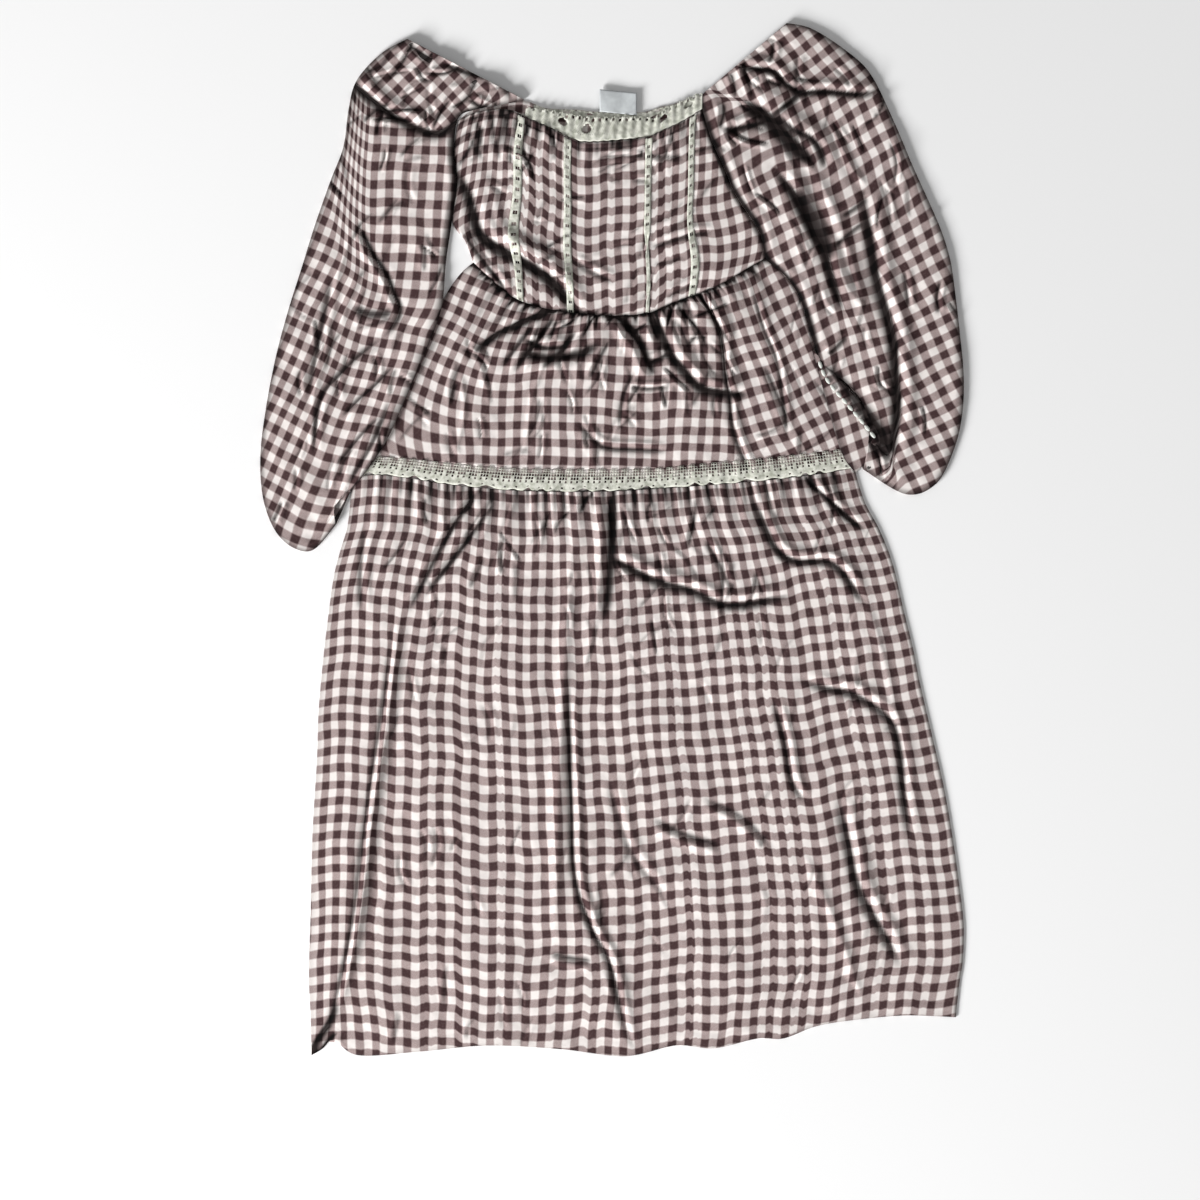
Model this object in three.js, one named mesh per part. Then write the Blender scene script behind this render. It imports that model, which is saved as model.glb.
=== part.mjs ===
// An off-shoulder midi dress laid flat on a surface, face up, as the cloth pieces it is cut and sewn from.
// Millimetres, +Z up, +Y towards the neckline. Backs lie flat, fronts lie on them, and each sleeve is one tube.
import * as THREE from "three";

// Cloth and lace thicknesses, and the gaps at seams and between layers
const CLOTH = 1.5;
const CLOTH_AT_FOLD = 3;
const BACK_CLOTH = 1.2;
const LACE = 0.9;
const SEAM_GAP = 0.3;
const LAYER_GAP = 0.3;
const ARMHOLE_GAP = 0.8;

// Relief of the cloth: height of a front between folds and at most, that of a sleeve, softness of the sides
const LOFT = 1.6;
const RELIEF_MOST = 5;
const SLEEVE_LOFT = 7;
const SLEEVE_LEAST = 4.7;
const SLEEVE_MOST = 9.5;
const SLEEVE_EDGE = 2.6;
const SLEEVE_FLATNESS = 1.5;
const SLEEVE_ROOM = 1.6;
const SLEEVE_DROP = { below: 320, from: 2, to: 18 };
const SIDE_SOFTNESS = 60;
const NECK_RAISE = 1.6;
const NECK_RAISE_REACH = 0.25;
const FRONT_FLOOR = BACK_CLOTH + LAYER_GAP;
const FRONT_BASE = FRONT_FLOOR + CLOTH;

// Steps of each piece's grid; the skirt's rows crowd towards its gathered edge by a power
const SKIRT_ROWS = 9;
const SKIRT_CROWDING = 1.5;
const PEPLUM_ROWS = 7;
const BODICE_ROWS = 10;
const BODICE_STEPS = [12, 1, 6, 1, 8, 1, 5, 1, 10];
const STEPS_PER_WAVE = 4;
const TIER_LACE_STEPS = 72;
const NECK_LACE_STEPS = 32;
const BACK_STEPS = { across: 28, down: 10 };
const SLEEVE_STEPS = { top: 20, under: 8 };

// How near its sides the bodice holds their bend, as a power
const BODICE_HOLD = 4;

// Gathers: how many waves each seam has, how high they are and how far they run into the cloth
const GATHERS = {
  skirt: { waves: 24, high: 3.2, reach: 0.16 },
  peplum: { waves: 17, high: 2.8, reach: 0.4 },
  bodiceNeck: { waves: 27, high: 1.6, reach: 0.3 },
  sleeveNeck: { waves: 5, high: 2.2, reach: 0.16 },
  sleeveCuff: { waves: 5, high: 2, reach: 0.14 },
};
const HEM_WAVE = { waves: 9, high: 1.2, from: 0.9 };

// Share of a panel's width over which gathers fade out at its side seams
const SIDE_FADE = { skirt: 0.06, peplum: 0.08, bodice: 0.03 };

// Lace bands
const NECK_LACE_START = 0.27;
const BACK_LACE = { from: 0.32, to: 0.97, below: 1, wide: 11 };
const BODICE_STRIP_WIDTH = 9.5;
const HALVINGS = 30;
const BODICE_STRIPS = [
  { name: "bodice_lace_1", top: -102, bottom: -104 },
  { name: "bodice_lace_2", top: -50, bottom: -47 },
  { name: "bodice_lace_3", top: 42, bottom: 40 },
  { name: "bodice_lace_4", top: 92, bottom: 90 },
];

// Neck label: a folded ribbon loop sewn inside the back neckline
const LABEL = { x: 7, y: 482, wide: 44, long: 30, ribbon: 0.8, gap: 0.5 };

// Seams and edges, left to right, each row one point
const NECK_FRONT = points([
  [-174, 475], [-155, 484], [-132, 488], [-112, 486], [-93, 477], [-68, 466],
  [-44, 454], [-23, 451], [36, 456], [55, 463], [77, 473], [102, 488],
]);
const NECK_LACE_EDGE = points([
  [-97, 490], [-84, 484], [-68, 478], [-44, 467], [-23, 463],
  [36, 469], [55, 480], [77, 492], [102, 503],
]);
const NECK_BACK = points([
  [-174, 475], [-155, 484], [-132, 488], [-110, 492], [-95, 496], [-75, 490],
  [-38, 488], [-20, 486], [34, 485], [52, 490], [70, 494], [102, 503],
]);
const UNDERBUST = points([
  [-157, 314], [-127, 286], [-104, 271], [-75, 262], [-43, 257], [-2, 254],
  [41, 257], [71, 269], [107, 282], [133, 295], [154, 308], [174, 319],
]);
const PEPLUM_HEM = points([
  [-285, 95], [-240, 93], [-183, 87], [-127, 82], [-59, 80],
  [43, 81], [99, 86], [167, 92], [212, 97], [269, 104],
]);
const TIER_SEAM = points([
  [-294, 70], [-267, 74], [-228, 70], [-183, 63], [-104, 56],
  [-14, 55], [77, 60], [167, 67], [235, 75], [274, 82],
]);
const HEM = points([
  [-340, -583], [-328, -576], [-315, -566], [-287, -583], [-219, -579], [-141, -572],
  [-59, -576], [15, -584], [72, -572], [116, -575], [165, -564], [194, -564],
  [232, -550], [275, -543], [332, -538], [389, -540],
]);

// Sides that two pieces share, top to bottom
const ARMHOLE_LEFT = points([[-174, 475], [-179, 440], [-176, 405], [-181, 362], [-166, 338], [-157, 314]]);
const ARMHOLE_RIGHT = points([[102, 488], [113, 452], [127, 421], [140, 391], [167, 348], [174, 319]]);
const PEPLUM_LEFT = points([
  [-157, 314], [-169, 304], [-181, 289], [-194, 268], [-207, 248], [-219, 227],
  [-231, 202], [-244, 175], [-260, 143], [-276, 112], [-285, 95],
]);
const PEPLUM_RIGHT = points([
  [174, 319], [192, 303], [205, 287], [214, 270], [221, 246], [227, 226],
  [233, 201], [241, 175], [252, 141], [263, 113], [269, 104],
]);
const SKIRT_LEFT = points([
  [-294, 70], [-299, 18], [-307, -10], [-315, -42], [-322, -93], [-327, -136], [-332, -192],
  [-334, -249], [-339, -333], [-341, -418], [-343, -492], [-341, -542], [-340, -583],
]);
const SKIRT_RIGHT = points([
  [274, 82], [286, 43], [303, 11], [318, -28], [330, -79], [341, -124], [349, -164], [362, -220],
  [375, -277], [385, -333], [393, -390], [398, -435], [397, -475], [393, -503], [389, -540],
]);

// Sleeve sections from the neckline edge to the cuff: the left and right end of each flattened ring
const SLEEVE_LEFT = [
  { left: [-232, 567], right: [-99, 498] },
  { left: [-262, 550], right: [-127, 492] },
  { left: [-289, 520], right: [-155, 487] },
  { left: [-298, 488], right: [-174, 477] },
  { left: [-304, 445], right: [-179, 440] },
  { left: [-318, 408], right: [-176, 405] },
  { left: [-336, 357], right: [-181, 362] },
  { left: [-350, 312], right: [-188, 314] },
  { left: [-367, 258], right: [-193, 262] },
  { left: [-381, 205], right: [-212, 209] },
  { left: [-392, 147], right: [-235, 156] },
  { left: [-398, 95], right: [-253, 116] },
  { left: [-395, 48], right: [-269, 90] },
  { left: [-382, 12], right: [-281, 73] },
  { left: [-362, -8], right: [-289, 64] },
  { left: [-338, -11], right: [-293, 60] },
  { left: [-312, 18], right: [-295, 57] },
];
const SLEEVE_RIGHT = [
  { left: [102, 504], right: [198, 585] },
  { left: [102, 488], right: [225, 579] },
  { left: [113, 452], right: [262, 556] },
  { left: [127, 421], right: [292, 528] },
  { left: [140, 391], right: [318, 476] },
  { left: [167, 348], right: [340, 424] },
  { left: [174, 319], right: [359, 382] },
  { left: [192, 303], right: [373, 349] },
  { left: [205, 287], right: [383, 316] },
  { left: [214, 270], right: [388, 282] },
  { left: [221, 246], right: [393, 240] },
  { left: [227, 226], right: [398, 185] },
  { left: [231, 212], right: [396, 140] },
  { left: [233, 206], right: [386, 100] },
  { left: [234, 203], right: [366, 63] },
  { left: [235, 201], right: [332, 52] },
  { left: [236, 199], right: [284, 80] },
];
// How far the upper layer of each sleeve's last rings is drawn back from the cuff, and which way
const CUFF_LIP = [6, 13, 20, 28];
const LIP_LEFT = { x: -0.92, y: 0.4, share: 0.35 };
const LIP_RIGHT = { x: 0.93, y: 0.36, share: 1 };

// The body's own outline, used to let the relief die away at its sides
const BODY_SIDES = [
  { y: 505, left: -120, right: 104 },
  { y: 475, left: -174, right: 106 },
  { y: 405, left: -176, right: 134 },
  { y: 362, left: -181, right: 158 },
  { y: 314, left: -157, right: 178 },
  { y: 268, left: -194, right: 215 },
  { y: 202, left: -231, right: 233 },
  { y: 143, left: -260, right: 251 },
  { y: 70, left: -294, right: 276 },
  { y: -42, left: -315, right: 321 },
  { y: -136, left: -327, right: 343 },
  { y: -249, left: -334, right: 368 },
  { y: -418, left: -341, right: 397 },
  { y: -583, left: -340, right: 388 },
];

// Largest folds of the front, bodice first: each one's half width, height (down if negative) and line
const FRONT_FOLDS = [
  { wide: 10, high: -4, line: [[-177, 418], [-155, 390], [-144, 356], [-121, 322], [-70, 299], [-50, 275]] },
  { wide: 11, high: 3.6, line: [[-160, 425], [-136, 396], [-126, 360], [-104, 336], [-60, 314]] },
  { wide: 8, high: -2, line: [[30, 329], [49, 333], [88, 345], [120, 348]] },
  { wide: 9, high: -3, line: [[-150, 215], [-115, 243], [-64, 256]] },
  { wide: 10, high: -3, line: [[-98, 209], [-31, 215], [-2, 243]] },
  { wide: 10, high: -3, line: [[12, 250], [32, 226], [52, 195]] },
  { wide: 10, high: -3, line: [[54, 250], [77, 198], [105, 181], [150, 162]] },
  { wide: 9, high: 2.4, line: [[95, 262], [128, 215], [150, 150]] },
  { wide: 8, high: -2, line: [[-40, 114], [5, 112], [55, 107]] },
  { wide: 8, high: 2.4, line: [[-170, 190], [-168, 145], [-178, 100]] },
  { wide: 9, high: -3, line: [[-2, 52], [-3, 0], [-5, -68], [-12, -92]] },
  { wide: 10, high: 3, line: [[-26, 52], [-26, 0], [-34, -80], [-55, -140]] },
  { wide: 13, high: -4, line: [[-48, -160], [-46, -294], [-42, -379], [-25, -435], [-2, -480], [26, -582]] },
  { wide: 12, high: 4.6, line: [[-60, -120], [-68, -220], [-68, -330], [-64, -420], [-56, -470]] },
  { wide: 9, high: -3, line: [[0, -20], [49, -45], [88, -57], [133, -73], [201, -62]] },
  { wide: 9, high: 2.8, line: [[18, -8], [60, -26], [110, -38]] },
  { wide: 9, high: -3, line: [[155, 55], [184, -6], [207, -23], [252, -28], [290, -78]] },
  { wide: 9, high: -3, line: [[212, 72], [250, 42], [290, 6]] },
  { wide: 10, high: 2.8, line: [[185, 60], [222, 20], [268, 0]] },
  { wide: 11, high: -3, line: [[205, -155], [275, -175], [314, -203], [331, -294], [338, -350]] },
  { wide: 9, high: -2.4, line: [[182, -170], [195, -226], [222, -300]] },
  { wide: 11, high: -3, line: [[256, -280], [269, -350], [280, -395], [308, -446], [328, -490]] },
  { wide: 12, high: 2.6, line: [[236, -260], [246, -350], [262, -430], [285, -500]] },
  { wide: 9, high: 4, line: [[-236, -55], [-251, -136], [-267, -237], [-276, -350], [-289, -452], [-307, -560]] },
  { wide: 8, high: 2.2, line: [[-152, 40], [-186, -8], [-216, -50]] },
];

const SLEEVE_LEFT_FOLDS = [
  { wide: 10, high: -2.2, line: [[-292, 516], [-257, 488], [-211, 472], [-172, 470]] },
  { wide: 12, high: 3.4, line: [[-268, 520], [-228, 500], [-180, 494]] },
  { wide: 9, high: -2.2, line: [[-279, 390], [-265, 360], [-252, 330]] },
  { wide: 8, high: 3, line: [[-290, 400], [-279, 347], [-259, 301], [-243, 262], [-244, 230]] },
  { wide: 9, high: -2.2, line: [[-285, 280], [-262, 258], [-240, 240]] },
  { wide: 10, high: 2.6, line: [[-316, 300], [-328, 200], [-338, 110], [-330, 50]] },
  { wide: 8, high: 2.2, line: [[-238, 190], [-270, 110], [-300, 60]] },
  { wide: 8, high: 2.2, line: [[-290, 190], [-306, 110], [-310, 50]] },
];
const SLEEVE_RIGHT_FOLDS = [
  { wide: 11, high: -2.2, line: [[145, 500], [195, 463], [238, 426]] },
  { wide: 12, high: 4, line: [[150, 470], [186, 440], [222, 405]] },
  { wide: 9, high: -2.2, line: [[186, 484], [215, 506], [255, 505], [292, 514]] },
  { wide: 12, high: 3.2, line: [[205, 530], [240, 532], [275, 530]] },
  { wide: 10, high: -2.2, line: [[198, 420], [224, 367], [246, 311], [258, 262]] },
  { wide: 12, high: 3.4, line: [[222, 430], [252, 370], [276, 300], [286, 240]] },
  { wide: 10, high: -2.2, line: [[278, 385], [292, 328], [303, 271], [323, 203], [322, 147], [332, 78]] },
  { wide: 12, high: 3.4, line: [[300, 450], [318, 370], [334, 290], [350, 210], [348, 130]] },
];

function points(rows) {
  return rows.map(([x, y]) => new THREE.Vector2(x, y));
}

function smoothstep(low, high, value) {
  return THREE.MathUtils.smoothstep(value, low, high);
}

// A curve through the points, read by its share of the length
function smooth(list) {
  const curve = new THREE.SplineCurve(list);
  curve.arcLengthDivisions = 400;
  return (share) => curve.getPointAt(share);
}

// Straight lines through the points, which lie at even shares
function corners(list) {
  return (share) => {
    const place = THREE.MathUtils.clamp(share, 0, 1) * (list.length - 1);
    const first = Math.min(Math.floor(place), list.length - 2);
    return list[first].clone().lerp(list[first + 1], place - first);
  };
}

// The surface that four edges span: straight threads from top to bottom, bent near the sides as the sides bend
function patch(top, bottom, left, right, hold = 1) {
  return (across, down) => {
    const place = top(across).lerp(bottom(across), down);
    const leftBend = left(down).sub(top(0).lerp(bottom(0), down));
    const rightBend = right(down).sub(top(1).lerp(bottom(1), down));
    return place.addScaledVector(leftBend, (1 - across) ** hold).addScaledVector(rightBend, across ** hold);
  };
}

function evenly(count) {
  return Array.from({ length: count + 1 }, (_, index) => index / count);
}

// Even shares, closer together near the first edge
function crowded(count, power) {
  return evenly(count).map((share) => share ** power);
}

// Distance from a point to a fold's line, and the share of the line where it is nearest
function nearest(line, x, y) {
  let best = { away: Infinity, share: 0 };
  const steps = line.length - 1;
  for (let step = 0; step < steps; step += 1) {
    const [x1, y1] = line[step];
    const [x2, y2] = line[step + 1];
    const length = (x2 - x1) ** 2 + (y2 - y1) ** 2;
    const share = THREE.MathUtils.clamp(((x - x1) * (x2 - x1) + (y - y1) * (y2 - y1)) / length, 0, 1);
    const away = Math.hypot(x - x1 - share * (x2 - x1), y - y1 - share * (y2 - y1));
    if (away < best.away) best = { away, share: (step + share) / steps };
  }
  return best;
}

function foldHeight(folds, x, y) {
  let total = 0;
  for (const fold of folds) {
    const { away, share } = nearest(fold.line, x, y);
    const ends = smoothstep(-0.08, 0.2, share) * (1 - smoothstep(0.8, 1.08, share));
    total += fold.high * ends * Math.exp(-((away / fold.wide) ** 2));
  }
  return total;
}

// A row of uneven gathers: between 0 and 1 across a seam
function gatherWave(waves, share) {
  const uneven = share + 0.012 * Math.sin(9 * share) + 0.006 * Math.sin(31 * share);
  const wave = 0.5 - 0.5 * Math.cos(2 * Math.PI * waves * uneven);
  return wave * (0.72 + 0.28 * Math.sin(17 * share + 1));
}

function gather(kind, across, distance) {
  const { waves, high, reach } = GATHERS[kind];
  return high * gatherWave(waves, across) * Math.exp(-((distance / reach) ** 2));
}

// Fades from 0 at either side seam to 1 inside
function offSides(across, fade) {
  return smoothstep(0, fade, across) * (1 - smoothstep(1 - fade, 1, across));
}

function bodySide(key, y) {
  const row = BODY_SIDES.findIndex((side) => side.y <= y);
  if (row === 0) return BODY_SIDES[0][key];
  if (row < 0) return BODY_SIDES[BODY_SIDES.length - 1][key];
  const above = BODY_SIDES[row - 1];
  const below = BODY_SIDES[row];
  return THREE.MathUtils.lerp(above[key], below[key], (above.y - y) / (above.y - below.y));
}

// How far the front stands above its flattest, by place alone
function frontRelief(x, y) {
  const inside = Math.min(x - bodySide("left", y), bodySide("right", y) - x);
  const fade = smoothstep(0, SIDE_SOFTNESS, inside);
  return THREE.MathUtils.clamp(fade * (LOFT + foldHeight(FRONT_FOLDS, x, y)), 0, RELIEF_MOST);
}

// A front's cloth lies on the back, thicker where it is gathered or folded, and lifts off under the high folds
function frontCloth(z) {
  return THREE.MathUtils.clamp(z - FRONT_FLOOR, CLOTH, CLOTH_AT_FOLD);
}

function laceCloth() {
  return LACE;
}

// A closed wall: rows of outer points from the top edge down, and the same points lowered by the thickness
function wall(rows, thickness) {
  const across = rows[0].length;
  const outer = rows.flat();
  const count = outer.length;
  const position = [];
  for (const point of outer) position.push(point.x, point.y, point.z);
  for (const point of outer) position.push(point.x, point.y, point.z - thickness(point.z));
  const index = [];
  const at = (row, column) => row * across + column;
  for (let row = 0; row < rows.length - 1; row += 1) {
    for (let column = 0; column < across - 1; column += 1) {
      const quad = [at(row, column), at(row + 1, column), at(row + 1, column + 1), at(row, column + 1)];
      const [a, b, c, d] = quad;
      index.push(a, b, c, a, c, d);
      index.push(a + count, c + count, b + count, a + count, d + count, c + count);
    }
  }
  const rim = [];
  for (let row = 0; row < rows.length - 1; row += 1) rim.push(at(row, 0));
  for (let column = 0; column < across - 1; column += 1) rim.push(at(rows.length - 1, column));
  for (let row = rows.length - 1; row > 0; row -= 1) rim.push(at(row, across - 1));
  for (let column = across - 1; column > 0; column -= 1) rim.push(at(0, column));
  rim.forEach((from, place) => {
    const to = rim[(place + 1) % rim.length];
    index.push(to, from, from + count, to, from + count, to + count);
  });
  const geometry = new THREE.BufferGeometry();
  geometry.setAttribute("position", new THREE.Float32BufferAttribute(position, 3));
  geometry.setIndex(index);
  geometry.computeVertexNormals();
  return geometry;
}

// A closed tube wall, open at both ends: rings of outer points and rings of inner points
function tube(outerRings, innerRings) {
  const around = outerRings[0].length;
  const count = outerRings.length * around;
  const position = [];
  for (const ring of [...outerRings, ...innerRings]) {
    for (const point of ring) position.push(point.x, point.y, point.z);
  }
  const index = [];
  const at = (ring, place) => ring * around + (place % around);
  const last = outerRings.length - 1;
  for (let place = 0; place < around; place += 1) {
    for (let ring = 0; ring < last; ring += 1) {
      const a = at(ring, place);
      const b = at(ring + 1, place);
      const c = at(ring + 1, place + 1);
      const d = at(ring, place + 1);
      index.push(a, b, c, a, c, d);
      index.push(a + count, c + count, b + count, a + count, d + count, c + count);
    }
    const first = [at(0, place), at(0, place + 1)];
    const end = [at(last, place), at(last, place + 1)];
    index.push(first[0], first[1], first[1] + count, first[0], first[1] + count, first[0] + count);
    index.push(end[1], end[0], end[0] + count, end[1], end[0] + count, end[1] + count);
  }
  const geometry = new THREE.BufferGeometry();
  geometry.setAttribute("position", new THREE.Float32BufferAttribute(position, 3));
  geometry.setIndex(index);
  geometry.computeVertexNormals();
  return geometry;
}

const gingham = new THREE.MeshStandardMaterial({ color: 0x8f7c75, roughness: 0.9, metalness: 0 });
const lace = new THREE.MeshStandardMaterial({ color: 0xd9d8c4, roughness: 0.95, metalness: 0 });
const ribbon = new THREE.MeshStandardMaterial({ color: 0xf1f1ee, roughness: 0.6, metalness: 0 });

const dress = new THREE.Group();

function addPiece(name, geometry, material) {
  const mesh = new THREE.Mesh(geometry, material);
  mesh.name = name;
  dress.add(mesh);
}

// Moves a whole edge up or down, to leave the gap at a seam
function shifted(list, rise) {
  return list.map((point) => new THREE.Vector2(point.x, point.y + rise));
}

// A flat panel lying on the surface, with the outline of a patch
function slab(surface, columns, rows) {
  const edge = [
    ...columns.map((across) => surface(across, 1)),
    ...rows.slice(0, -1).reverse().map((down) => surface(1, down)),
    ...columns.slice(0, -1).reverse().map((across) => surface(across, 0)),
    ...rows.slice(1, -1).map((down) => surface(0, down)),
  ];
  return new THREE.ExtrudeGeometry(new THREE.Shape(edge), { depth: BACK_CLOTH, bevelEnabled: false, steps: 1 });
}

function gridOf(surface, columns, rows, height) {
  return rows.map((down) =>
    columns.map((across) => {
      const place = surface(across, down);
      return new THREE.Vector3(place.x, place.y, height(place.x, place.y, across, down));
    }),
  );
}

// Skirt: two panels gathered to the lace band, sewn at the sides
const skirtTop = shifted(TIER_SEAM, -SEAM_GAP);
const skirtSurface = patch(
  smooth(skirtTop),
  smooth(HEM),
  smooth([skirtTop[0], ...SKIRT_LEFT.slice(1)]),
  smooth([skirtTop[skirtTop.length - 1], ...SKIRT_RIGHT.slice(1)]),
);

function skirtHeight(x, y, across, down) {
  const hemRise = HEM_WAVE.high * smoothstep(HEM_WAVE.from, 1, down) * gatherWave(HEM_WAVE.waves, across);
  const waves = offSides(across, SIDE_FADE.skirt) * (gather("skirt", across, down) + hemRise);
  return FRONT_BASE + frontRelief(x, y) + waves;
}

function addSkirt() {
  const columns = evenly(GATHERS.skirt.waves * STEPS_PER_WAVE);
  const rows = crowded(SKIRT_ROWS, SKIRT_CROWDING);
  addPiece("skirt_front", wall(gridOf(skirtSurface, columns, rows, skirtHeight), frontCloth), gingham);
  addPiece("skirt_back", slab(skirtSurface, evenly(BACK_STEPS.across), evenly(BACK_STEPS.down)), gingham);
}

// Upper tier: two panels gathered to the bodice, with the lace band along the lower edge
const peplumTop = shifted(UNDERBUST, -SEAM_GAP / 2);
const peplumSurface = patch(
  smooth(peplumTop),
  smooth(PEPLUM_HEM),
  smooth([peplumTop[0], ...PEPLUM_LEFT.slice(1)]),
  smooth([peplumTop[peplumTop.length - 1], ...PEPLUM_RIGHT.slice(1)]),
);

function peplumHeight(x, y, across, down) {
  const waves = offSides(across, SIDE_FADE.peplum) * gather("peplum", across, down);
  return FRONT_BASE + frontRelief(x, y) + waves;
}

function addPeplum() {
  const columns = evenly(GATHERS.peplum.waves * STEPS_PER_WAVE);
  const rows = evenly(PEPLUM_ROWS);
  addPiece("peplum_front", wall(gridOf(peplumSurface, columns, rows, peplumHeight), frontCloth), gingham);
  addPiece("peplum_back", slab(peplumSurface, evenly(BACK_STEPS.across), rows), gingham);
}

// Lace band let in between the tiers, front and back
function addTierLace() {
  const top = shifted(PEPLUM_HEM, -SEAM_GAP);
  const surface = patch(
    smooth(top),
    smooth(TIER_SEAM),
    corners([top[0], TIER_SEAM[0]]),
    corners([top[top.length - 1], TIER_SEAM[TIER_SEAM.length - 1]]),
  );
  const height = (x, y) => FRONT_BASE + frontRelief(x, y);
  const columns = evenly(TIER_LACE_STEPS);
  addPiece("tier_lace_front", wall(gridOf(surface, columns, evenly(1), height), frontCloth), lace);
  addPiece("tier_lace_back", slab(surface, evenly(BACK_STEPS.across), evenly(1)), lace);
}

// Bodice: front and back panel, with the armholes at the sides
const bodiceBottom = shifted(UNDERBUST, SEAM_GAP / 2);
const bodiceSides = [ARMHOLE_LEFT, ARMHOLE_RIGHT].map((side, which) => {
  const corner = bodiceBottom[which === 0 ? 0 : bodiceBottom.length - 1];
  return corners([...side.slice(0, -1), corner]);
});
const bodiceSurface = patch(
  threaded(NECK_FRONT, "top"),
  threaded(bodiceBottom, "bottom"),
  ...bodiceSides,
  BODICE_HOLD,
);
const bodiceBackSurface = patch(
  smooth(NECK_BACK),
  smooth(bodiceBottom),
  bodiceSides[0],
  corners([...NECK_BACK.slice(-1), ...ARMHOLE_RIGHT.slice(0, -1), ...bodiceBottom.slice(-1)]),
);

// An edge read by the threads of the bodice: each lace strip has its own thread down either side
function threaded(list, end) {
  const edge = smooth(list);
  const half = BODICE_STRIP_WIDTH / 2;
  const first = list[0].x;
  const last = list[list.length - 1].x;
  const stops = BODICE_STRIPS.flatMap((strip) => [strip[end] - half, strip[end] + half]);
  const places = [first, ...stops, last];
  return (across) => {
    const at = across * (places.length - 1);
    const from = Math.min(Math.floor(at), places.length - 2);
    const x = THREE.MathUtils.lerp(places[from], places[from + 1], at - from);
    let low = 0;
    let high = 1;
    for (let step = 0; step < HALVINGS; step += 1) {
      const middle = (low + high) / 2;
      if (edge(middle).x < x) low = middle;
      else high = middle;
    }
    return edge((low + high) / 2);
  };
}

function bodiceHeight(x, y, across, down) {
  const outerStretch = 1 / BODICE_STEPS.length;
  const beside = across < outerStretch || across > 1 - outerStretch ? 1 : 0;
  const waves = beside * offSides(across, SIDE_FADE.bodice) * gather("bodiceNeck", across, down);
  const raised = NECK_RAISE * (1 - smoothstep(0, NECK_RAISE_REACH, down));
  return FRONT_BASE + raised + frontRelief(x, y) + waves;
}

// Shares across the bodice: each stretch between threads has its own number of steps
function bodiceColumns() {
  const shares = BODICE_STEPS.flatMap((steps, stretch) =>
    evenly(steps).slice(0, -1).map((share) => (stretch + share) / BODICE_STEPS.length),
  );
  return [...shares, 1];
}

function addBodice() {
  const columns = bodiceColumns();
  const front = gridOf(bodiceSurface, columns, evenly(BODICE_ROWS), bodiceHeight);
  addPiece("bodice_front", wall(front, frontCloth), gingham);
  BODICE_STRIPS.forEach(({ name }, which) => {
    const first = columns.indexOf((2 * which + 1) / BODICE_STEPS.length);
    const last = columns.indexOf((2 * which + 2) / BODICE_STEPS.length);
    const strip = front.map((row) => row.slice(first, last + 1).map((point) => point.clone()));
    for (const point of strip.flat()) point.z += LAYER_GAP + LACE;
    addPiece(name, wall(strip, laceCloth), lace);
  });
  const back = slab(bodiceBackSurface, evenly(BACK_STEPS.across), evenly(BACK_STEPS.down));
  addPiece("bodice_back", back, gingham);
}

// Eyelet lace standing up from the front neckline, and the same lace inside the back neckline
function addNeckLace() {
  const lower = smooth(shifted(NECK_FRONT, SEAM_GAP));
  const upper = smooth(NECK_LACE_EDGE);
  const steps = evenly(NECK_LACE_STEPS);
  const rows = [1, 0].map((rise) =>
    steps.map((share) => {
      const foot = lower(NECK_LACE_START + (1 - NECK_LACE_START) * share);
      const place = foot.clone().lerp(upper(share), rise);
      return new THREE.Vector3(place.x, place.y, FRONT_BASE + NECK_RAISE + frontRelief(foot.x, foot.y));
    }),
  );
  addPiece("neck_lace_front", wall(rows, laceCloth), lace);

  const { from, to, below, wide } = BACK_LACE;
  const edge = smooth(NECK_BACK);
  const strip = [0, wide].map((down) =>
    steps.map((share) => {
      const place = edge(THREE.MathUtils.lerp(from, to, share));
      return new THREE.Vector3(place.x, place.y - below - down, FRONT_FLOOR + LACE);
    }),
  );
  addPiece("neck_lace_back", wall(strip, laceCloth), lace);
}

// Height of a sleeve's underside: on the surface, or over the side of the body that the left sleeve lies on
function underSleeve(x, y) {
  const outside = bodySide("left", y) - x;
  if (x > 0 || y > SLEEVE_DROP.below) return 0;
  const edge = FRONT_BASE + SLEEVE_ROOM;
  if (outside > 0) return edge * (1 - smoothstep(SLEEVE_DROP.from, SLEEVE_DROP.to, outside));
  return edge + LOFT * smoothstep(0, SIDE_SOFTNESS, -outside);
}

function ringHeights(place, folds, row, lastRow, across) {
  const low = underSleeve(place.x, place.y);
  const neck = gather("sleeveNeck", across, row / lastRow);
  const cuff = gather("sleeveCuff", across, 1 - row / lastRow);
  const loft = SLEEVE_LOFT + foldHeight(folds, place.x, place.y) + neck + cuff;
  return { low, high: low + THREE.MathUtils.clamp(loft, SLEEVE_LEAST, SLEEVE_MOST) };
}

// Angles round a sleeve: closer together over its top than under it
function sleeveAngles() {
  const over = evenly(SLEEVE_STEPS.top).slice(0, -1);
  const under = evenly(SLEEVE_STEPS.under).slice(0, -1);
  return [...over.map((share) => Math.PI * share), ...under.map((share) => Math.PI * (1 + share))];
}

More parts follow.
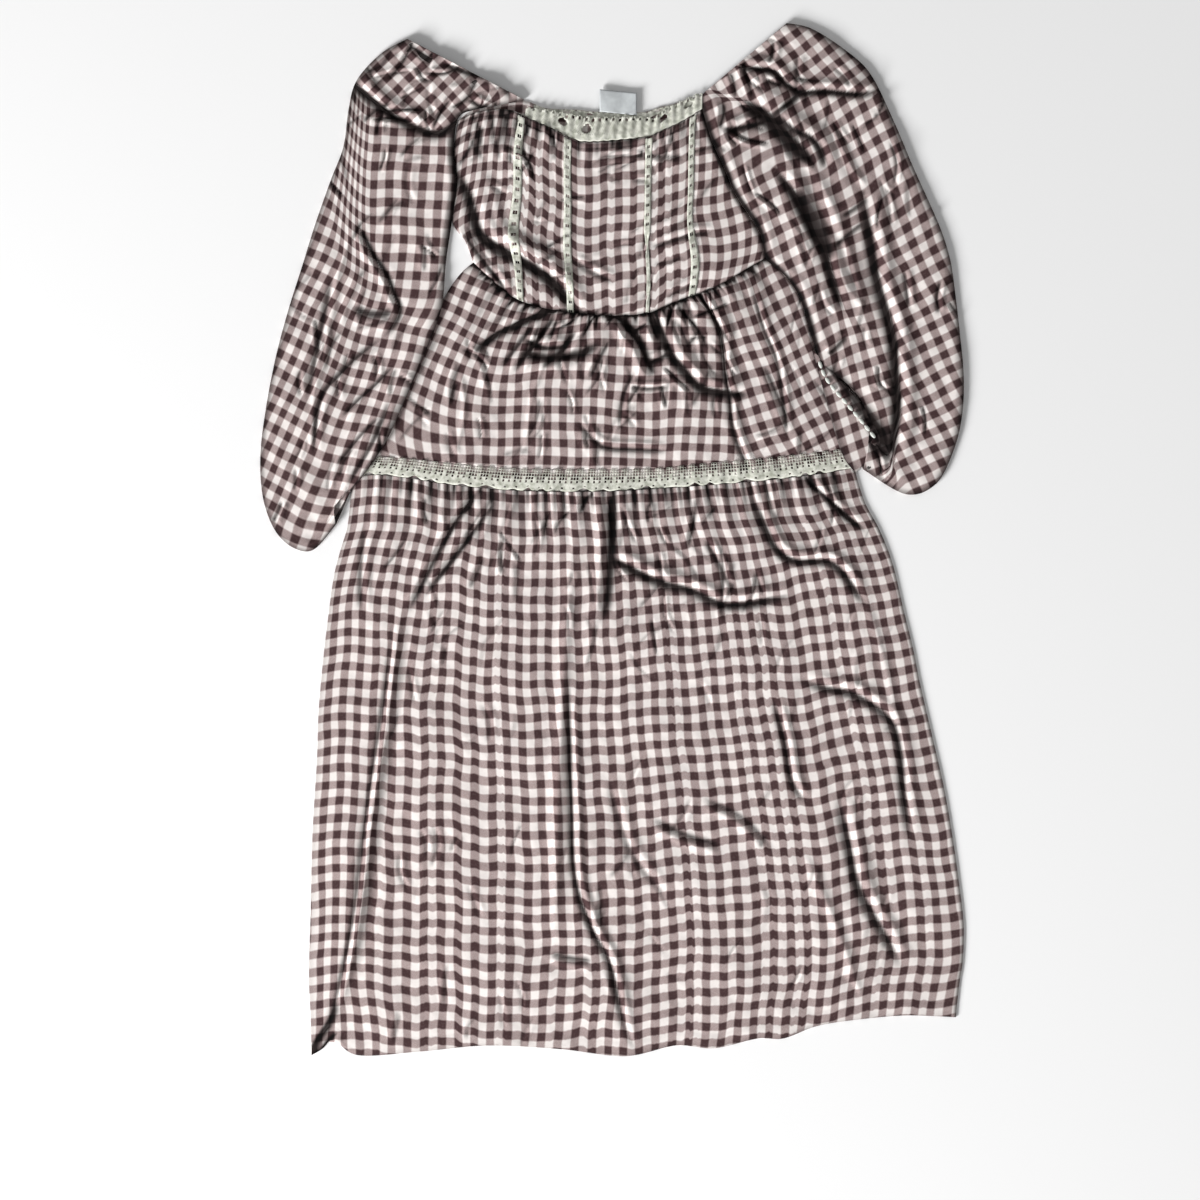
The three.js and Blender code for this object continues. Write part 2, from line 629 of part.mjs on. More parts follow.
// Sleeves: one tube each, gathered at the neckline and at the cuff, bulging past the cuff
function sleeveTube(sections, folds, lip, gap) {
  const last = sections.length - 1;
  const outer = [];
  const inner = [];
  sections.forEach((section, row) => {
    const left = new THREE.Vector2(section.left[0] + gap.left, section.left[1]);
    const right = new THREE.Vector2(section.right[0] + gap.right, section.right[1]);
    const length = left.distanceTo(right);
    const back = CUFF_LIP[row - (last - CUFF_LIP.length + 1)] ?? 0;
    const outerRing = [];
    const innerRing = [];
    for (const angle of sleeveAngles()) {
      const onTop = angle < Math.PI;
      const across = (1 - Math.cos(angle)) / 2;
      const round = Math.min(1, SLEEVE_FLATNESS * Math.sqrt(Math.abs(Math.sin(angle))));
      const inset = (CLOTH + (length - 2 * CLOTH) * across) / length;
      const drawn = onTop ? back * lip.share * Math.sin(Math.PI * across) : 0;
      for (const [ring, share, inside] of [[outerRing, across, 0], [innerRing, inset, 1]]) {
        const spot = left.clone().lerp(right, share);
        spot.x += lip.x * drawn;
        spot.y += lip.y * drawn;
        const { low, high } = ringHeights(spot, folds, row, last, across);
        const cloth = inside * THREE.MathUtils.clamp((high - low) / 3, CLOTH, CLOTH_AT_FOLD);
        const middle = low + SLEEVE_EDGE;
        const z = onTop ? middle + (high - cloth - middle) * round : middle - (middle - low - cloth) * round;
        ring.push(new THREE.Vector3(spot.x, spot.y, z));
      }
    }
    outer.push(outerRing);
    inner.push(innerRing);
  });
  return tube(outer, inner);
}

function addSleeves() {
  const left = sleeveTube(SLEEVE_LEFT, SLEEVE_LEFT_FOLDS, LIP_LEFT, { left: 0, right: -ARMHOLE_GAP });
  const right = sleeveTube(SLEEVE_RIGHT, SLEEVE_RIGHT_FOLDS, LIP_RIGHT, { left: ARMHOLE_GAP, right: 0 });
  addPiece("sleeve_left", left, gingham);
  addPiece("sleeve_right", right, gingham);
}

// Neck label: two layers of ribbon, folded at the far end
function addLabel() {
  const { x, y, wide, long, ribbon: thick, gap } = LABEL;
  const low = BACK_CLOTH + 2 * LAYER_GAP + LACE;
  const high = low + 2 * thick + gap;
  const side = new THREE.Shape();
  side.moveTo(0, low);
  side.lineTo(long, low);
  side.lineTo(long + thick, (low + high) / 2);
  side.lineTo(long, high);
  side.lineTo(0, high);
  side.lineTo(0, high - thick);
  side.lineTo(long - thick, high - thick);
  side.lineTo(long - thick, low + thick);
  side.lineTo(0, low + thick);
  side.closePath();
  const geometry = new THREE.ExtrudeGeometry(side, { depth: wide, bevelEnabled: false, steps: 1 });
  const acrossSewn = new THREE.Matrix4().set(0, 0, 1, x - wide / 2, 1, 0, 0, y - long / 3, 0, 1, 0, 0, 0, 0, 0, 1);
  geometry.applyMatrix4(acrossSewn);
  addPiece("neck_label", geometry, ribbon);
}

addSkirt();
addPeplum();
addTierLace();
addBodice();
addNeckLace();
addSleeves();
addLabel();

// The origin is at the middle of the outline, on the surface the dress lies on
const size = new THREE.Box3().setFromObject(dress);
const middle = size.getCenter(new THREE.Vector3());
dress.position.set(-middle.x, -middle.y, -size.min.z);

export default dress;
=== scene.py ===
# An off-shoulder dress in brown and cream checked cotton, laid flat on its back and seen from straight above.
# Tables are in millimetres in the frame of the model: X to the right of the photo, Y towards the neckline.
import math

import bmesh
import bpy
import numpy as np
from mathutils import Matrix
from mathutils.bvhtree import BVHTree


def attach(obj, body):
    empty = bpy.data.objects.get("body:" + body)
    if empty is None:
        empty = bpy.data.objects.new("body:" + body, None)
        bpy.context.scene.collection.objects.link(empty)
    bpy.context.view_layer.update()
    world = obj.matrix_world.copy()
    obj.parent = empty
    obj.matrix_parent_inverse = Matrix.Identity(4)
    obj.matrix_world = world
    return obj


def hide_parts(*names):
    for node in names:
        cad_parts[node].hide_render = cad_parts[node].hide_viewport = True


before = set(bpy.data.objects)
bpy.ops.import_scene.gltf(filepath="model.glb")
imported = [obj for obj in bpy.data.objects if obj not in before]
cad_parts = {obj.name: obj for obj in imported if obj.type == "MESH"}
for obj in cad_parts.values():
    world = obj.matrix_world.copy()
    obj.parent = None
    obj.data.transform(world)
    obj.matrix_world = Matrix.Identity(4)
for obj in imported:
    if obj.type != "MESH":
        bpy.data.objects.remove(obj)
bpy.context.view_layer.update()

# The dress lies on a plain pale floor under soft studio light. One wide lamp low at the left and below the
# hem draws the creases, and a pale room fills the shadows. The camera looks straight down, as in the photo.
MM = 0.001
PHOTO_MIDDLE = (-13.6, -67.8)
CAMERA_HEIGHT = 6.0
LENS = 159.0
SENSOR = 36.0
FLOOR_HALF = 6.0
FLOOR_Z = -0.3 * MM
FLOOR_COLOUR = (0.9, 0.9, 0.9, 1)
CLOTH_SHINE = 0.15
ROOM_COLOUR = (1.0, 1.0, 1.0, 1)
ROOM_STRENGTH = 0.25
LAMPS = [
    {"name": "key_lamp", "place": (-4.6, -4.0, 2.7), "size": 2.4, "watts": 815},
    {"name": "fill_lamp", "place": (2.4, 1.8, 4.2), "size": 3.0, "watts": 25},
]


def plain_material(name, colour, roughness):
    material = bpy.data.materials.new(name)
    material.use_nodes = True
    shader = material.node_tree.nodes["Principled BSDF"]
    shader.inputs["Base Color"].default_value = colour
    shader.inputs["Roughness"].default_value = roughness
    shader.inputs["Specular IOR Level"].default_value = CLOTH_SHINE
    return material


def shown(name, bm, material):
    mesh = bpy.data.meshes.new(name)
    bm.to_mesh(mesh)
    bm.free()
    mesh.materials.append(material)
    piece = bpy.data.objects.new(name, mesh)
    bpy.context.scene.collection.objects.link(piece)
    return piece


bm = bmesh.new()
bmesh.ops.create_grid(bm, x_segments=1, y_segments=1, size=FLOOR_HALF)
bmesh.ops.translate(bm, verts=bm.verts, vec=(0, 0, FLOOR_Z))
floor = shown("floor", bm, plain_material("pale floor", FLOOR_COLOUR, 0.9))

world = bpy.data.worlds.new("pale room")
world.use_nodes = True
world.node_tree.nodes["Background"].inputs["Color"].default_value = ROOM_COLOUR
world.node_tree.nodes["Background"].inputs["Strength"].default_value = ROOM_STRENGTH
bpy.context.scene.world = world
bpy.context.scene.view_settings.view_transform = "Standard"

middle_x, middle_y = PHOTO_MIDDLE[0] * MM, PHOTO_MIDDLE[1] * MM
for lamp in LAMPS:
    light = bpy.data.lights.new(lamp["name"], "AREA")
    light.size = lamp["size"]
    light.energy = lamp["watts"]
    holder = bpy.data.objects.new(lamp["name"], light)
    x, y, z = lamp["place"]
    holder.location = (x, y, z)
    turn = math.atan2(middle_y - y, middle_x - x)
    tilt = math.atan2(math.hypot(middle_x - x, middle_y - y), z)
    holder.rotation_euler = (0, -tilt, turn)
    bpy.context.scene.collection.objects.link(holder)

lens = bpy.data.cameras.new("camera")
lens.lens = LENS
lens.sensor_width = SENSOR
camera = bpy.data.objects.new("camera", lens)
camera.location = (middle_x, middle_y, CAMERA_HEIGHT)
bpy.context.scene.collection.objects.link(camera)
bpy.context.scene.camera = camera

# The skirt front: one wide panel of checked cotton, gathered to the lace above it, with a narrow turned hem.
# It lies on the back panel, and its long creases and the pleat down its left side are where it was folded.
CHECK = 19.05
CREAM = (0.86, 0.80, 0.77, 1)
HALF_TONE = (0.38, 0.29, 0.28, 1)
BROWN = (0.062, 0.033, 0.034, 1)
THREAD = 0.5
# Painted shade: the near-black colour that the weave is darkened towards in creases, seams, gather pockets,
# near edges and inside the sleeve mouths.
PAINTED_SHADE_COLOUR = (0.02, 0.015, 0.015, 1)
FRONT_BASE = 3.0
LOFT = 1.6
FRONT_LEAST = 2.2
FRONT_MOST = 10.5
BACK_CLOTH = 1.2
RIM_LOW = 1.3
RIM_SHARE = 0.25
SIDE_SOFTNESS = 60
SEAM_DIP = 1.6
WOBBLE = 1.2
SKIRT_GRID = {"across": 330, "down": 280}
SKIRT_CUT = (0.762, 0.65)
SKIRT_GATHERS = {"waves": 24, "high": 3.4, "reach": 0.12}
SKIRT_LONG = 630
HEM = {"deep": 14, "stitch": 1.1, "dip": 0.5, "waves": 9, "high": 1.2, "from": 0.9}
TIER_SEAM = [
    (-294, 70), (-267, 74), (-228, 70), (-183, 63), (-104, 56),
    (-14, 55), (77, 60), (167, 67), (235, 75), (274, 82),
]
HEM_LINE = [
    (-340, -583), (-328, -576), (-315, -566), (-287, -583), (-219, -579), (-141, -572),
    (-59, -576), (15, -584), (72, -572), (116, -575), (165, -564), (194, -564),
    (232, -550), (275, -543), (332, -538), (389, -540),
]
SKIRT_LEFT = [
    (-294, 70), (-299, 18), (-307, -10), (-315, -42), (-322, -93), (-327, -136), (-332, -192),
    (-334, -249), (-339, -333), (-341, -418), (-343, -492), (-341, -542), (-340, -583),
]
SKIRT_RIGHT = [
    (274, 82), (286, 43), (303, 11), (318, -28), (330, -79), (341, -124), (349, -164), (362, -220),
    (375, -277), (385, -333), (393, -390), (398, -435), (397, -475), (393, -503), (389, -540),
]
BODY_SIDES = {
    "y": [-583, -418, -249, -136, -42, 70, 143, 202, 268, 314, 362, 405, 475, 505],
    "left": [-340, -341, -334, -327, -315, -294, -260, -231, -194, -157, -181, -176, -174, -120],
    "right": [388, 397, 368, 343, 321, 276, 251, 233, 215, 178, 158, 134, 106, 104],
}
# Each crease: half its width, its depth (a ridge if negative), the side its cloth piles up on, the cloth
# hidden in it, and its line. Sides are seen along the line: 1 is the left, -1 the right, 0 both.
SKIRT_CREASES = [
    (9, -3.4, 0, 7, [(-234, -58), (-243, -113), (-251, -181), (-268, -294), (-283, -407), (-295, -475),
        (-317, -565)]),
    (5, 2.6, 1, 6, [(-246, -80), (-258, -181), (-276, -294), (-290, -407), (-302, -475), (-325, -572)]),
    (6, 2.2, 1, 0, [(-279, 15), (-284, -30), (-284, -80)]),
    (5, 3.4, -1, 3, [(-148, 60), (-185, 8), (-231, -82)]),
    (5, 2.8, -1, 3, [(-135, 40), (-168, -5), (-205, -52)]),
    (5, 2.2, 1, 0, [(-155, 11), (-180, -24), (-212, -64)]),
    (8, 4.2, -1, 3, [(-2, 50), (-2, -11), (-6, -68), (-12, -92)]),
    (11, -3.0, 0, 0, [(-42, 34), (-53, -124), (-61, -294), (-64, -469)]),
    (6, 3.3, 1, 9, [(-50, -150), (-46, -294), (-42, -379), (-25, -435), (-2, -480), (12, -542),
        (27, -580)]),
    (5, 2.4, -1, 0, [(-69, -467), (-48, -473), (-22, -476)]),
    (8, 4.0, 1, 3, [(-10, -15), (49, -45), (88, -56), (133, -73), (204, -62)]),
    (5, 2.4, 1, 0, [(105, 2), (122, -28), (134, -54)]),
    (7, 4.0, 1, 4, [(160, 50), (184, -6), (207, -23), (252, -28), (288, -76)]),
    (5, 3.0, 1, 0, [(216, 74), (247, 44), (288, 9)]),
    (6, 2.6, 1, 0, [(243, 48), (262, 30), (284, 14)]),
    (8, 3.4, 1, 5, [(208, -157), (241, -167), (275, -175), (314, -203), (326, -237), (331, -294),
        (338, -342)]),
    (6, 2.8, 1, 0, [(182, -178), (195, -226), (203, -271), (220, -298)]),
    (6, 2.2, -1, 0, [(45, -315), (82, -333), (125, -346)]),
    (6, 1.8, -1, 0, [(103, -292), (150, -316), (182, -352)]),
    (7, 1.6, 1, 0, [(-5, -268), (20, -350), (62, -403)]),
    (9, 3.4, 1, 5, [(256, -290), (269, -350), (280, -395), (308, -446), (328, -484)]),
    (4, 2.0, -1, 0, [(97, 50), (92, 20), (86, -11)]),
    (4, 2.0, 1, 0, [(123, -5), (126, -40), (123, -88)]),
    (7, -2.0, 0, 0, [(285, -60), (312, -150), (330, -240)]),
    (8, -2.0, 0, 0, [(215, -350), (255, -440), (282, -520)]),
    (7, 4.2, 1, 0, [(-345, -592), (-334, -566), (-318, -540), (-312, -520)]),
    (5, 3.4, -1, 0, [(-332, -590), (-322, -570), (-310, -556)]),
]
# Small creases all over: how many, between which x and y, the seed, their main direction and their depth
SKIRT_CRINKLES = [
    {"count": 80, "x": (-320, 380), "y": (-560, 40), "seed": 81, "turn": 80, "deep": 1.1},
    {"count": 40, "x": (-270, 300), "y": (-110, 50), "seed": 82, "turn": 75, "deep": 1.6},
]
CRINKLE = {"wide": 3.2, "long": 42, "spread": 28, "bend": 0.25}


def curve(rows, places):
    """The smooth line through the rows, read by row number."""
    p = np.array(rows, float)
    p = np.vstack([p[:1], p, p[-1:]])
    first = np.clip(np.floor(places).astype(int), 0, len(p) - 4)
    t = (places - first)[:, None]
    a, b, c, d = (p[first + step] for step in range(4))
    return 0.5 * (2 * b + (c - a) * t + (2 * a - 5 * b + 4 * c - d) * t**2 + (3 * b - a - 3 * c + d) * t**3)


def edge(rows, shares):
    """The same line, read by its share of the length."""
    line = curve(rows, np.linspace(0, len(rows) - 1, 40 * len(rows)))
    run = np.concatenate([[0], np.cumsum(np.hypot(*np.diff(line, axis=0).T))])
    return np.stack([np.interp(shares * run[-1], run, line[:, way]) for way in (0, 1)], -1)


def spanned(top, bottom, left, right, across, down, hold=1):
    """Rows of points between four edges: straight threads, bent near the sides as the sides bend."""
    u, v = across[None, :, None], down[:, None, None]
    place = top[None] * (1 - v) + bottom[None] * v
    left_bend = left[:, None] - (top[0] * (1 - v) + bottom[0] * v)
    right_bend = right[:, None] - (top[-1] * (1 - v) + bottom[-1] * v)
    return place + left_bend * (1 - u) ** hold + right_bend * u**hold


def smoothstep(low, high, value):
    t = np.clip((value - low) / (high - low), 0, 1)
    return t * t * (3 - 2 * t)


def beside(line, x, y):
    """Distance to a line, the side, the share along it, and its direction there."""
    points = edge(line, np.linspace(0, 1, 6 * len(line)))
    away = np.full(x.shape, np.inf)
    side = np.zeros(x.shape)
    share = np.zeros(x.shape)
    way = np.zeros((2, *x.shape))
    count = len(points) - 1
    for step in range(count):
        (x1, y1), (x2, y2) = points[step], points[step + 1]
        dx, dy = x2 - x1, y2 - y1
        at = np.clip(((x - x1) * dx + (y - y1) * dy) / (dx * dx + dy * dy), 0, 1)
        off_x, off_y = x - x1 - at * dx, y - y1 - at * dy
        distance = np.hypot(off_x, off_y)
        near = distance < away
        away = np.where(near, distance, away)
        side = np.where(near, np.sign(dx * off_y - dy * off_x), side)
        share = np.where(near, (step + at) / count, share)
        way[0] = np.where(near, dx / math.hypot(dx, dy), way[0])
        way[1] = np.where(near, dy / math.hypot(dx, dy), way[1])
    return away, side, share, way


def creased(rows, x, y):
    """Over all creases: the height, how far the pattern shifts, and the painted shade that darkens each
    point.
    """
    high = np.zeros(x.shape)
    shift = np.zeros((2, *x.shape))
    fold = np.zeros(x.shape)
    for wide, deep, piled, hidden, line in rows:
        away, side, share, way = beside(line, x, y)
        ends = smoothstep(-0.02, 0.2, share) * (1 - smoothstep(0.8, 1.02, share))
        near = away / wide
        core = np.exp(-((near / 0.42) ** 2))
        bank = np.exp(-(((near - 1.3) / 0.7) ** 2))
        weight = 0.45 + 0.45 * piled * side if piled else 0.25
        high += 1.2 * deep * ends * (weight * bank - 0.6 * core - 0.4 * np.exp(-(near**2)))
        jump = 0.5 * hidden * ends * np.tanh(side * away / 1.2) * np.exp(-((away / 90) ** 2))
        shift += jump * np.stack([-way[1], way[0]])
        # Painted shade: a crease darkens the colour along its line, narrowly on the side its cloth piles up
        # on and wider on the other; ridges get none.
        if deep > 0:
            reach = np.where(piled * side > 0, 0.28, 0.66) if piled else 0.46
            fold += ends * np.exp(-((near / reach) ** 2)) * 2.6 * (deep / 3.2) ** 1.5
    return high, shift, 1 - np.exp(-fold)


def crinkled(patches):
    """The small creases of some patches, most near one direction, in the same form as the large ones."""
    rows = []
    for patch in patches:
        rng = np.random.default_rng(patch["seed"])
        for _ in range(patch["count"]):
            x, y = rng.uniform(*patch["x"]), rng.uniform(*patch["y"])
            angle = math.radians(patch["turn"] + rng.normal(0, CRINKLE["spread"]))
            reach = CRINKLE["long"] * rng.uniform(0.5, 1.3)
            bend = rng.uniform(-CRINKLE["bend"], CRINKLE["bend"])
            dx, dy = reach * math.cos(angle) / 2, reach * math.sin(angle) / 2
            line = [(x - dx, y - dy), (x - bend * dy, y + bend * dx), (x + dx, y + dy)]
            wide, deep = CRINKLE["wide"] * rng.uniform(0.7, 1.4), patch["deep"] * rng.uniform(0.4, 1.3)
            rows.append((wide, deep, rng.choice([-1, 1]), 0, line))
    return rows


def rippled(x, y, seed):
    """Slight unevenness of cloth that was pressed flat and has relaxed."""
    rng = np.random.default_rng(seed)
    high = np.zeros(x.shape)
    for length, height in ((130, 0.30), (80, 0.26), (45, 0.16), (22, 0.08), (13, 0.05)):
        for _ in range(4):
            turn, phase = rng.uniform(0, math.pi), rng.uniform(0, 2 * math.pi)
            high += height * np.sin(2 * math.pi / length * (x * math.cos(turn) + y * math.sin(turn)) + phase)
    return high


def gather_wave(waves, share):
    """A row of uneven gathers, between 0 and 1 across a seam."""
    uneven = share + 0.012 * np.sin(9 * share) + 0.006 * np.sin(31 * share)
    return (0.5 - 0.5 * np.cos(2 * math.pi * waves * uneven)) * (0.72 + 0.28 * np.sin(17 * share + 1))


def gathered(gathers, across, distance):
    """The main gathers of a seam, with smaller ones between them that die away sooner."""
    main = gather_wave(gathers["waves"], across) * np.exp(-((distance / gathers["reach"]) ** 2))
    small = gather_wave(2.3 * gathers["waves"], across) * np.exp(-((distance / gathers["reach"] * 2.2) ** 2))
    return gathers["high"] * (0.75 * main + 0.45 * small)


def painted_gather_shade(gathers, across, distance):
    """Painted shade in the pockets between gathers: deep at their seam, then thin lines that run out along
    them.
    """
    small = 1 - gather_wave(2.3 * gathers["waves"], across)
    main = 1 - gather_wave(gathers["waves"], across)
    at_seam = np.clip(2.2 * small - 1.3, 0, 1) * np.exp(-((distance / gathers["reach"] * 4) ** 2))
    lines = np.clip(3 * main - 2.2, 0, 1) * np.exp(-((distance / gathers["reach"] * 1.3) ** 2))
    return 0.95 * at_seam + 0.75 * lines


def painted_edge_shade(from_edge, strength=0.55, reach=3.5):
    """Painted shade close to a turned edge, where the cloth turns away from the light."""
    return strength * np.exp(-((from_edge / reach) ** 2))


def inside_body(x, y):
    left = np.interp(y, BODY_SIDES["y"], BODY_SIDES["left"])
    right = np.interp(y, BODY_SIDES["y"], BODY_SIDES["right"])
    return smoothstep(0, SIDE_SOFTNESS, np.minimum(x - left, right - x))


def rolled(z, distance, radius=3.5):
    """Heights of cloth that rolls down to the layer below, near a turned edge."""
    t = np.clip(distance / radius, 0, 1)
    return RIM_LOW + (z - RIM_LOW) * (RIM_SHARE + (1 - RIM_SHARE) * np.sqrt(1 - (1 - t) ** 2))


def lengths_down(x, y, z):
    """Length of the cloth down each thread, from the top edge."""
    steps = np.sqrt(np.diff(x, axis=0) ** 2 + np.diff(y, axis=0) ** 2 + np.diff(z, axis=0) ** 2)
    return np.vstack([np.zeros((1, x.shape[1])), np.cumsum(steps, axis=0)])


def turned(line, soft, x, y):
    """How far each point is over on the left of the line where the cloth folds, from 0 to 1, in a widening
    fan past its ends.
    """
    away, side, share, way = beside(line, x, y)
    off, beyond = side * away, np.zeros(x.shape)
    for end, past in ((line[0], share <= 0), (line[-1], share >= 1)):
        over = way[0] * (y - end[1]) - way[1] * (x - end[0])
        off = np.where(past, over, off)
        beyond = np.where(past, np.sqrt(np.maximum(away**2 - over**2, 0)), beyond)
    return smoothstep(-soft - beyond, soft + beyond, off)


def zoned(x, y, zones):
    """Cloth coordinates where the checks turn from zone to zone at folds. Each zone lies left of its line."""
    pattern = None
    for line, soft, hinge, columns, rows in zones:
        (a, column_gap), (b, row_gap) = columns, rows
        a, b = math.radians(a), math.radians(b)
        here = np.stack([
            (x * math.cos(a) + y * math.sin(a)) * CHECK / column_gap,
            (x * math.cos(b) + y * math.sin(b)) * CHECK / row_gap,
        ])
        if pattern is None:
            pattern = here
            continue
        nearest = np.unravel_index(np.argmin((x - hinge[0]) ** 2 + (y - hinge[1]) ** 2), x.shape)
        here += (pattern[:, nearest[0], nearest[1]] - here[:, nearest[0], nearest[1]])[:, None, None]
        pattern = pattern + (here - pattern) * turned(line, soft, x, y)
    return pattern


def pierce(bm, holes):
    """Openwork: each cell of the net has a hole inset by its own millimetres, or none if negative."""
    rows, columns = holes.shape
    cells = {}
    for face in bm.faces:
        low = min(vert.index for vert in face.verts)
        cells[face] = (rows - 1 - low // (columns + 1), low % (columns + 1))
    for inset in np.unique(holes[holes >= 0]):
        faces = [face for face, (row, column) in cells.items() if holes[row, column] == inset]
        if inset > 0:
            bmesh.ops.inset_individual(bm, faces=faces, thickness=inset * MM)
        bmesh.ops.delete(bm, geom=faces, context="FACES")


def lay_cloth(name, x, y, z, cloth, material, rim=None, fold=None, holes=None):
    """A fine net of cloth through the points, with its pattern, and with its edges turned down to the rim."""
    if rim is not None:
        x, y = np.pad(x, 1, "edge"), np.pad(y, 1, "edge")
        z = np.pad(z, 1, constant_values=rim)
        cloth = [np.pad(one, 1, "edge") for one in cloth]
        fold = None if fold is None else np.pad(fold, 1, "edge")
    rows, columns = x.shape
    bm = bmesh.new()
    bmesh.ops.create_grid(bm, x_segments=columns - 1, y_segments=rows - 1, size=1)
    flat = np.array([vert.co[:2] for vert in bm.verts])
    order = np.lexsort((flat[:, 0].round(5), -flat[:, 1].round(5)))
    places = np.empty((len(flat), 3))
    pattern = np.empty((len(flat), 2))
    places[order] = np.stack([x.ravel(), y.ravel(), z.ravel()], -1) * MM
    pattern[order] = np.stack([cloth[0].ravel(), cloth[1].ravel()], -1) * MM
    # The painted shade of each point goes into a second map, which the material reads.
    shade = np.zeros(len(flat))
    if fold is not None:
        shade[order] = fold.ravel()
    bm.loops.layers.uv.new("cloth")
    bm.loops.layers.uv.new("fold")
    layer, painted_shade_layer = bm.loops.layers.uv["cloth"], bm.loops.layers.uv["fold"]
    bm.verts.index_update()
    for vert, place in zip(bm.verts, places.tolist()):
        vert.co = place
    pattern, shade = pattern.tolist(), shade.tolist()
    for face in bm.faces:
        face.smooth = True
        for loop in face.loops:
            loop[layer].uv = pattern[loop.vert.index]
            loop[painted_shade_layer].uv = (shade[loop.vert.index], 0)
    if holes is not None:
        pierce(bm, holes)
    bmesh.ops.remove_doubles(bm, verts=bm.verts, dist=1e-6)
    return shown(f"{name}_cloth", bm, material)


def fitted(piece, solid=None):
    """The piece lies with the dress, and in place of its plain solid if any."""
    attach(piece, "root")
    if solid:
        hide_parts(solid)
    return piece


def thickened(piece, name, thickness):
    thick = piece.modifiers.new(name, "SOLIDIFY")
    thick.thickness = thickness * MM
    return piece


def node(tree, kind, inputs=None, **settings):
    """A shader node with its settings, and each of its inputs set to a value or linked to another node."""
    made = tree.nodes.new(kind)
    for name, value in settings.items():
        setattr(made, name, value)
    for name, value in (inputs or {}).items():
        if isinstance(value, bpy.types.NodeSocket):
            tree.links.new(value, made.inputs[name])
        else:
            made.inputs[name].default_value = value
    return made


def group_of(name, floats, outputs):
    """An empty node group on cloth coordinates, with its own numbers and outputs."""
    group = bpy.data.node_groups.new(name, "ShaderNodeTree")
    group.interface.new_socket("Cloth", in_out="INPUT", socket_type="NodeSocketVector")
    for label, start in floats.items():
        group.interface.new_socket(label, in_out="INPUT", socket_type="NodeSocketFloat").default_value = start
    for label, kind in outputs.items():
        group.interface.new_socket(label, in_out="OUTPUT", socket_type=kind)
    return group, group.nodes.new("NodeGroupInput").outputs, group.nodes.new("NodeGroupOutput").inputs


def weave_group():
    """Checks of dyed and plain threads: the colour, and the height of the single threads."""
    numbers = {"Check": CHECK * MM, "Thread": THREAD * MM, "Soften": 0.0011, "Mottle": 0.5}
    outputs = {"Color": "NodeSocketColor", "Height": "NodeSocketFloat"}
    group, given, out = group_of("checked weave", numbers, outputs)

    def maths(operation, *values):
        return node(group, "ShaderNodeMath", dict(enumerate(values)), operation=operation).outputs[0]

    split = node(group, "ShaderNodeSeparateXYZ", {0: given["Cloth"]}).outputs
    half = maths("MULTIPLY", given["Check"], 0.5)
    quarter = maths("MULTIPLY", given["Check"], 0.25)
    stripes = []
    for way in ("X", "Y"):
        limits = {
            "Value": maths("PINGPONG", split[way], half),
            "From Min": maths("SUBTRACT", quarter, given["Soften"]),
            "From Max": maths("ADD", quarter, given["Soften"]),
        }
        stripe = node(group, "ShaderNodeMapRange", limits, interpolation_type="SMOOTHSTEP")
        stripes.append(stripe.outputs["Result"])
    dyed = maths("MULTIPLY", maths("ADD", *stripes), 0.5)

    turns = maths("DIVIDE", math.pi, given["Thread"])
    waves = [maths("SINE", maths("MULTIPLY", split[way], turns)) for way in ("X", "Y")]
    over_under = maths("MULTIPLY", *waves)
    halfway = maths("SUBTRACT", 1, maths("ABSOLUTE", maths("MULTIPLY", maths("SUBTRACT", dyed, 0.5), 2)))
    speckle = maths("MULTIPLY", maths("MULTIPLY", over_under, halfway), 0.16)
    mottle = node(group, "ShaderNodeTexNoise", {"Scale": 420, "Detail": 3, "Vector": given["Cloth"]})
    uneven = maths("MULTIPLY", maths("SUBTRACT", mottle.outputs["Fac"], 0.5), given["Mottle"])
    shade = maths("ADD", maths("ADD", dyed, speckle), maths("MULTIPLY", uneven, 0.35))
    ramp = node(group, "ShaderNodeValToRGB", {"Fac": shade})
    ramp.color_ramp.elements[0].color = CREAM
    ramp.color_ramp.elements[1].color = BROWN
    ramp.color_ramp.elements.new(0.5).color = HALF_TONE
    group.links.new(ramp.outputs["Color"], out["Color"])
    group.links.new(maths("ADD", over_under, uneven), out["Height"])
    return group


checked_weave = weave_group()


def checked_material(name):
    material = plain_material(name, CREAM, 0.88)
    tree = material.node_tree
    cloth = node(tree, "ShaderNodeUVMap", uv_map="cloth").outputs["UV"]
    weave = node(tree, "ShaderNodeGroup", {"Cloth": cloth}, node_tree=checked_weave).outputs
    threads = node(tree, "ShaderNodeBump", {"Strength": 0.35, "Distance": 0.0002, "Height": weave["Height"]})
    # Painted shade: the weave colour is multiplied towards the shade colour by the painted shade map.
    fold = node(tree, "ShaderNodeUVMap", uv_map="fold").outputs["UV"]
    painted_shade_amount = node(tree, "ShaderNodeSeparateXYZ", {0: fold}).outputs["X"]
    mixed = {"B": PAINTED_SHADE_COLOUR, "Factor": painted_shade_amount, "A": weave["Color"]}
    painted_shade_mix = node(tree, "ShaderNodeMix", mixed, data_type="RGBA", blend_type="MULTIPLY")
    shader = tree.nodes["Principled BSDF"]
    tree.links.new(painted_shade_mix.outputs["Result"], shader.inputs["Base Color"])
    tree.links.new(threads.outputs["Normal"], shader.inputs["Normal"])
    return material


gingham = checked_material("gingham")

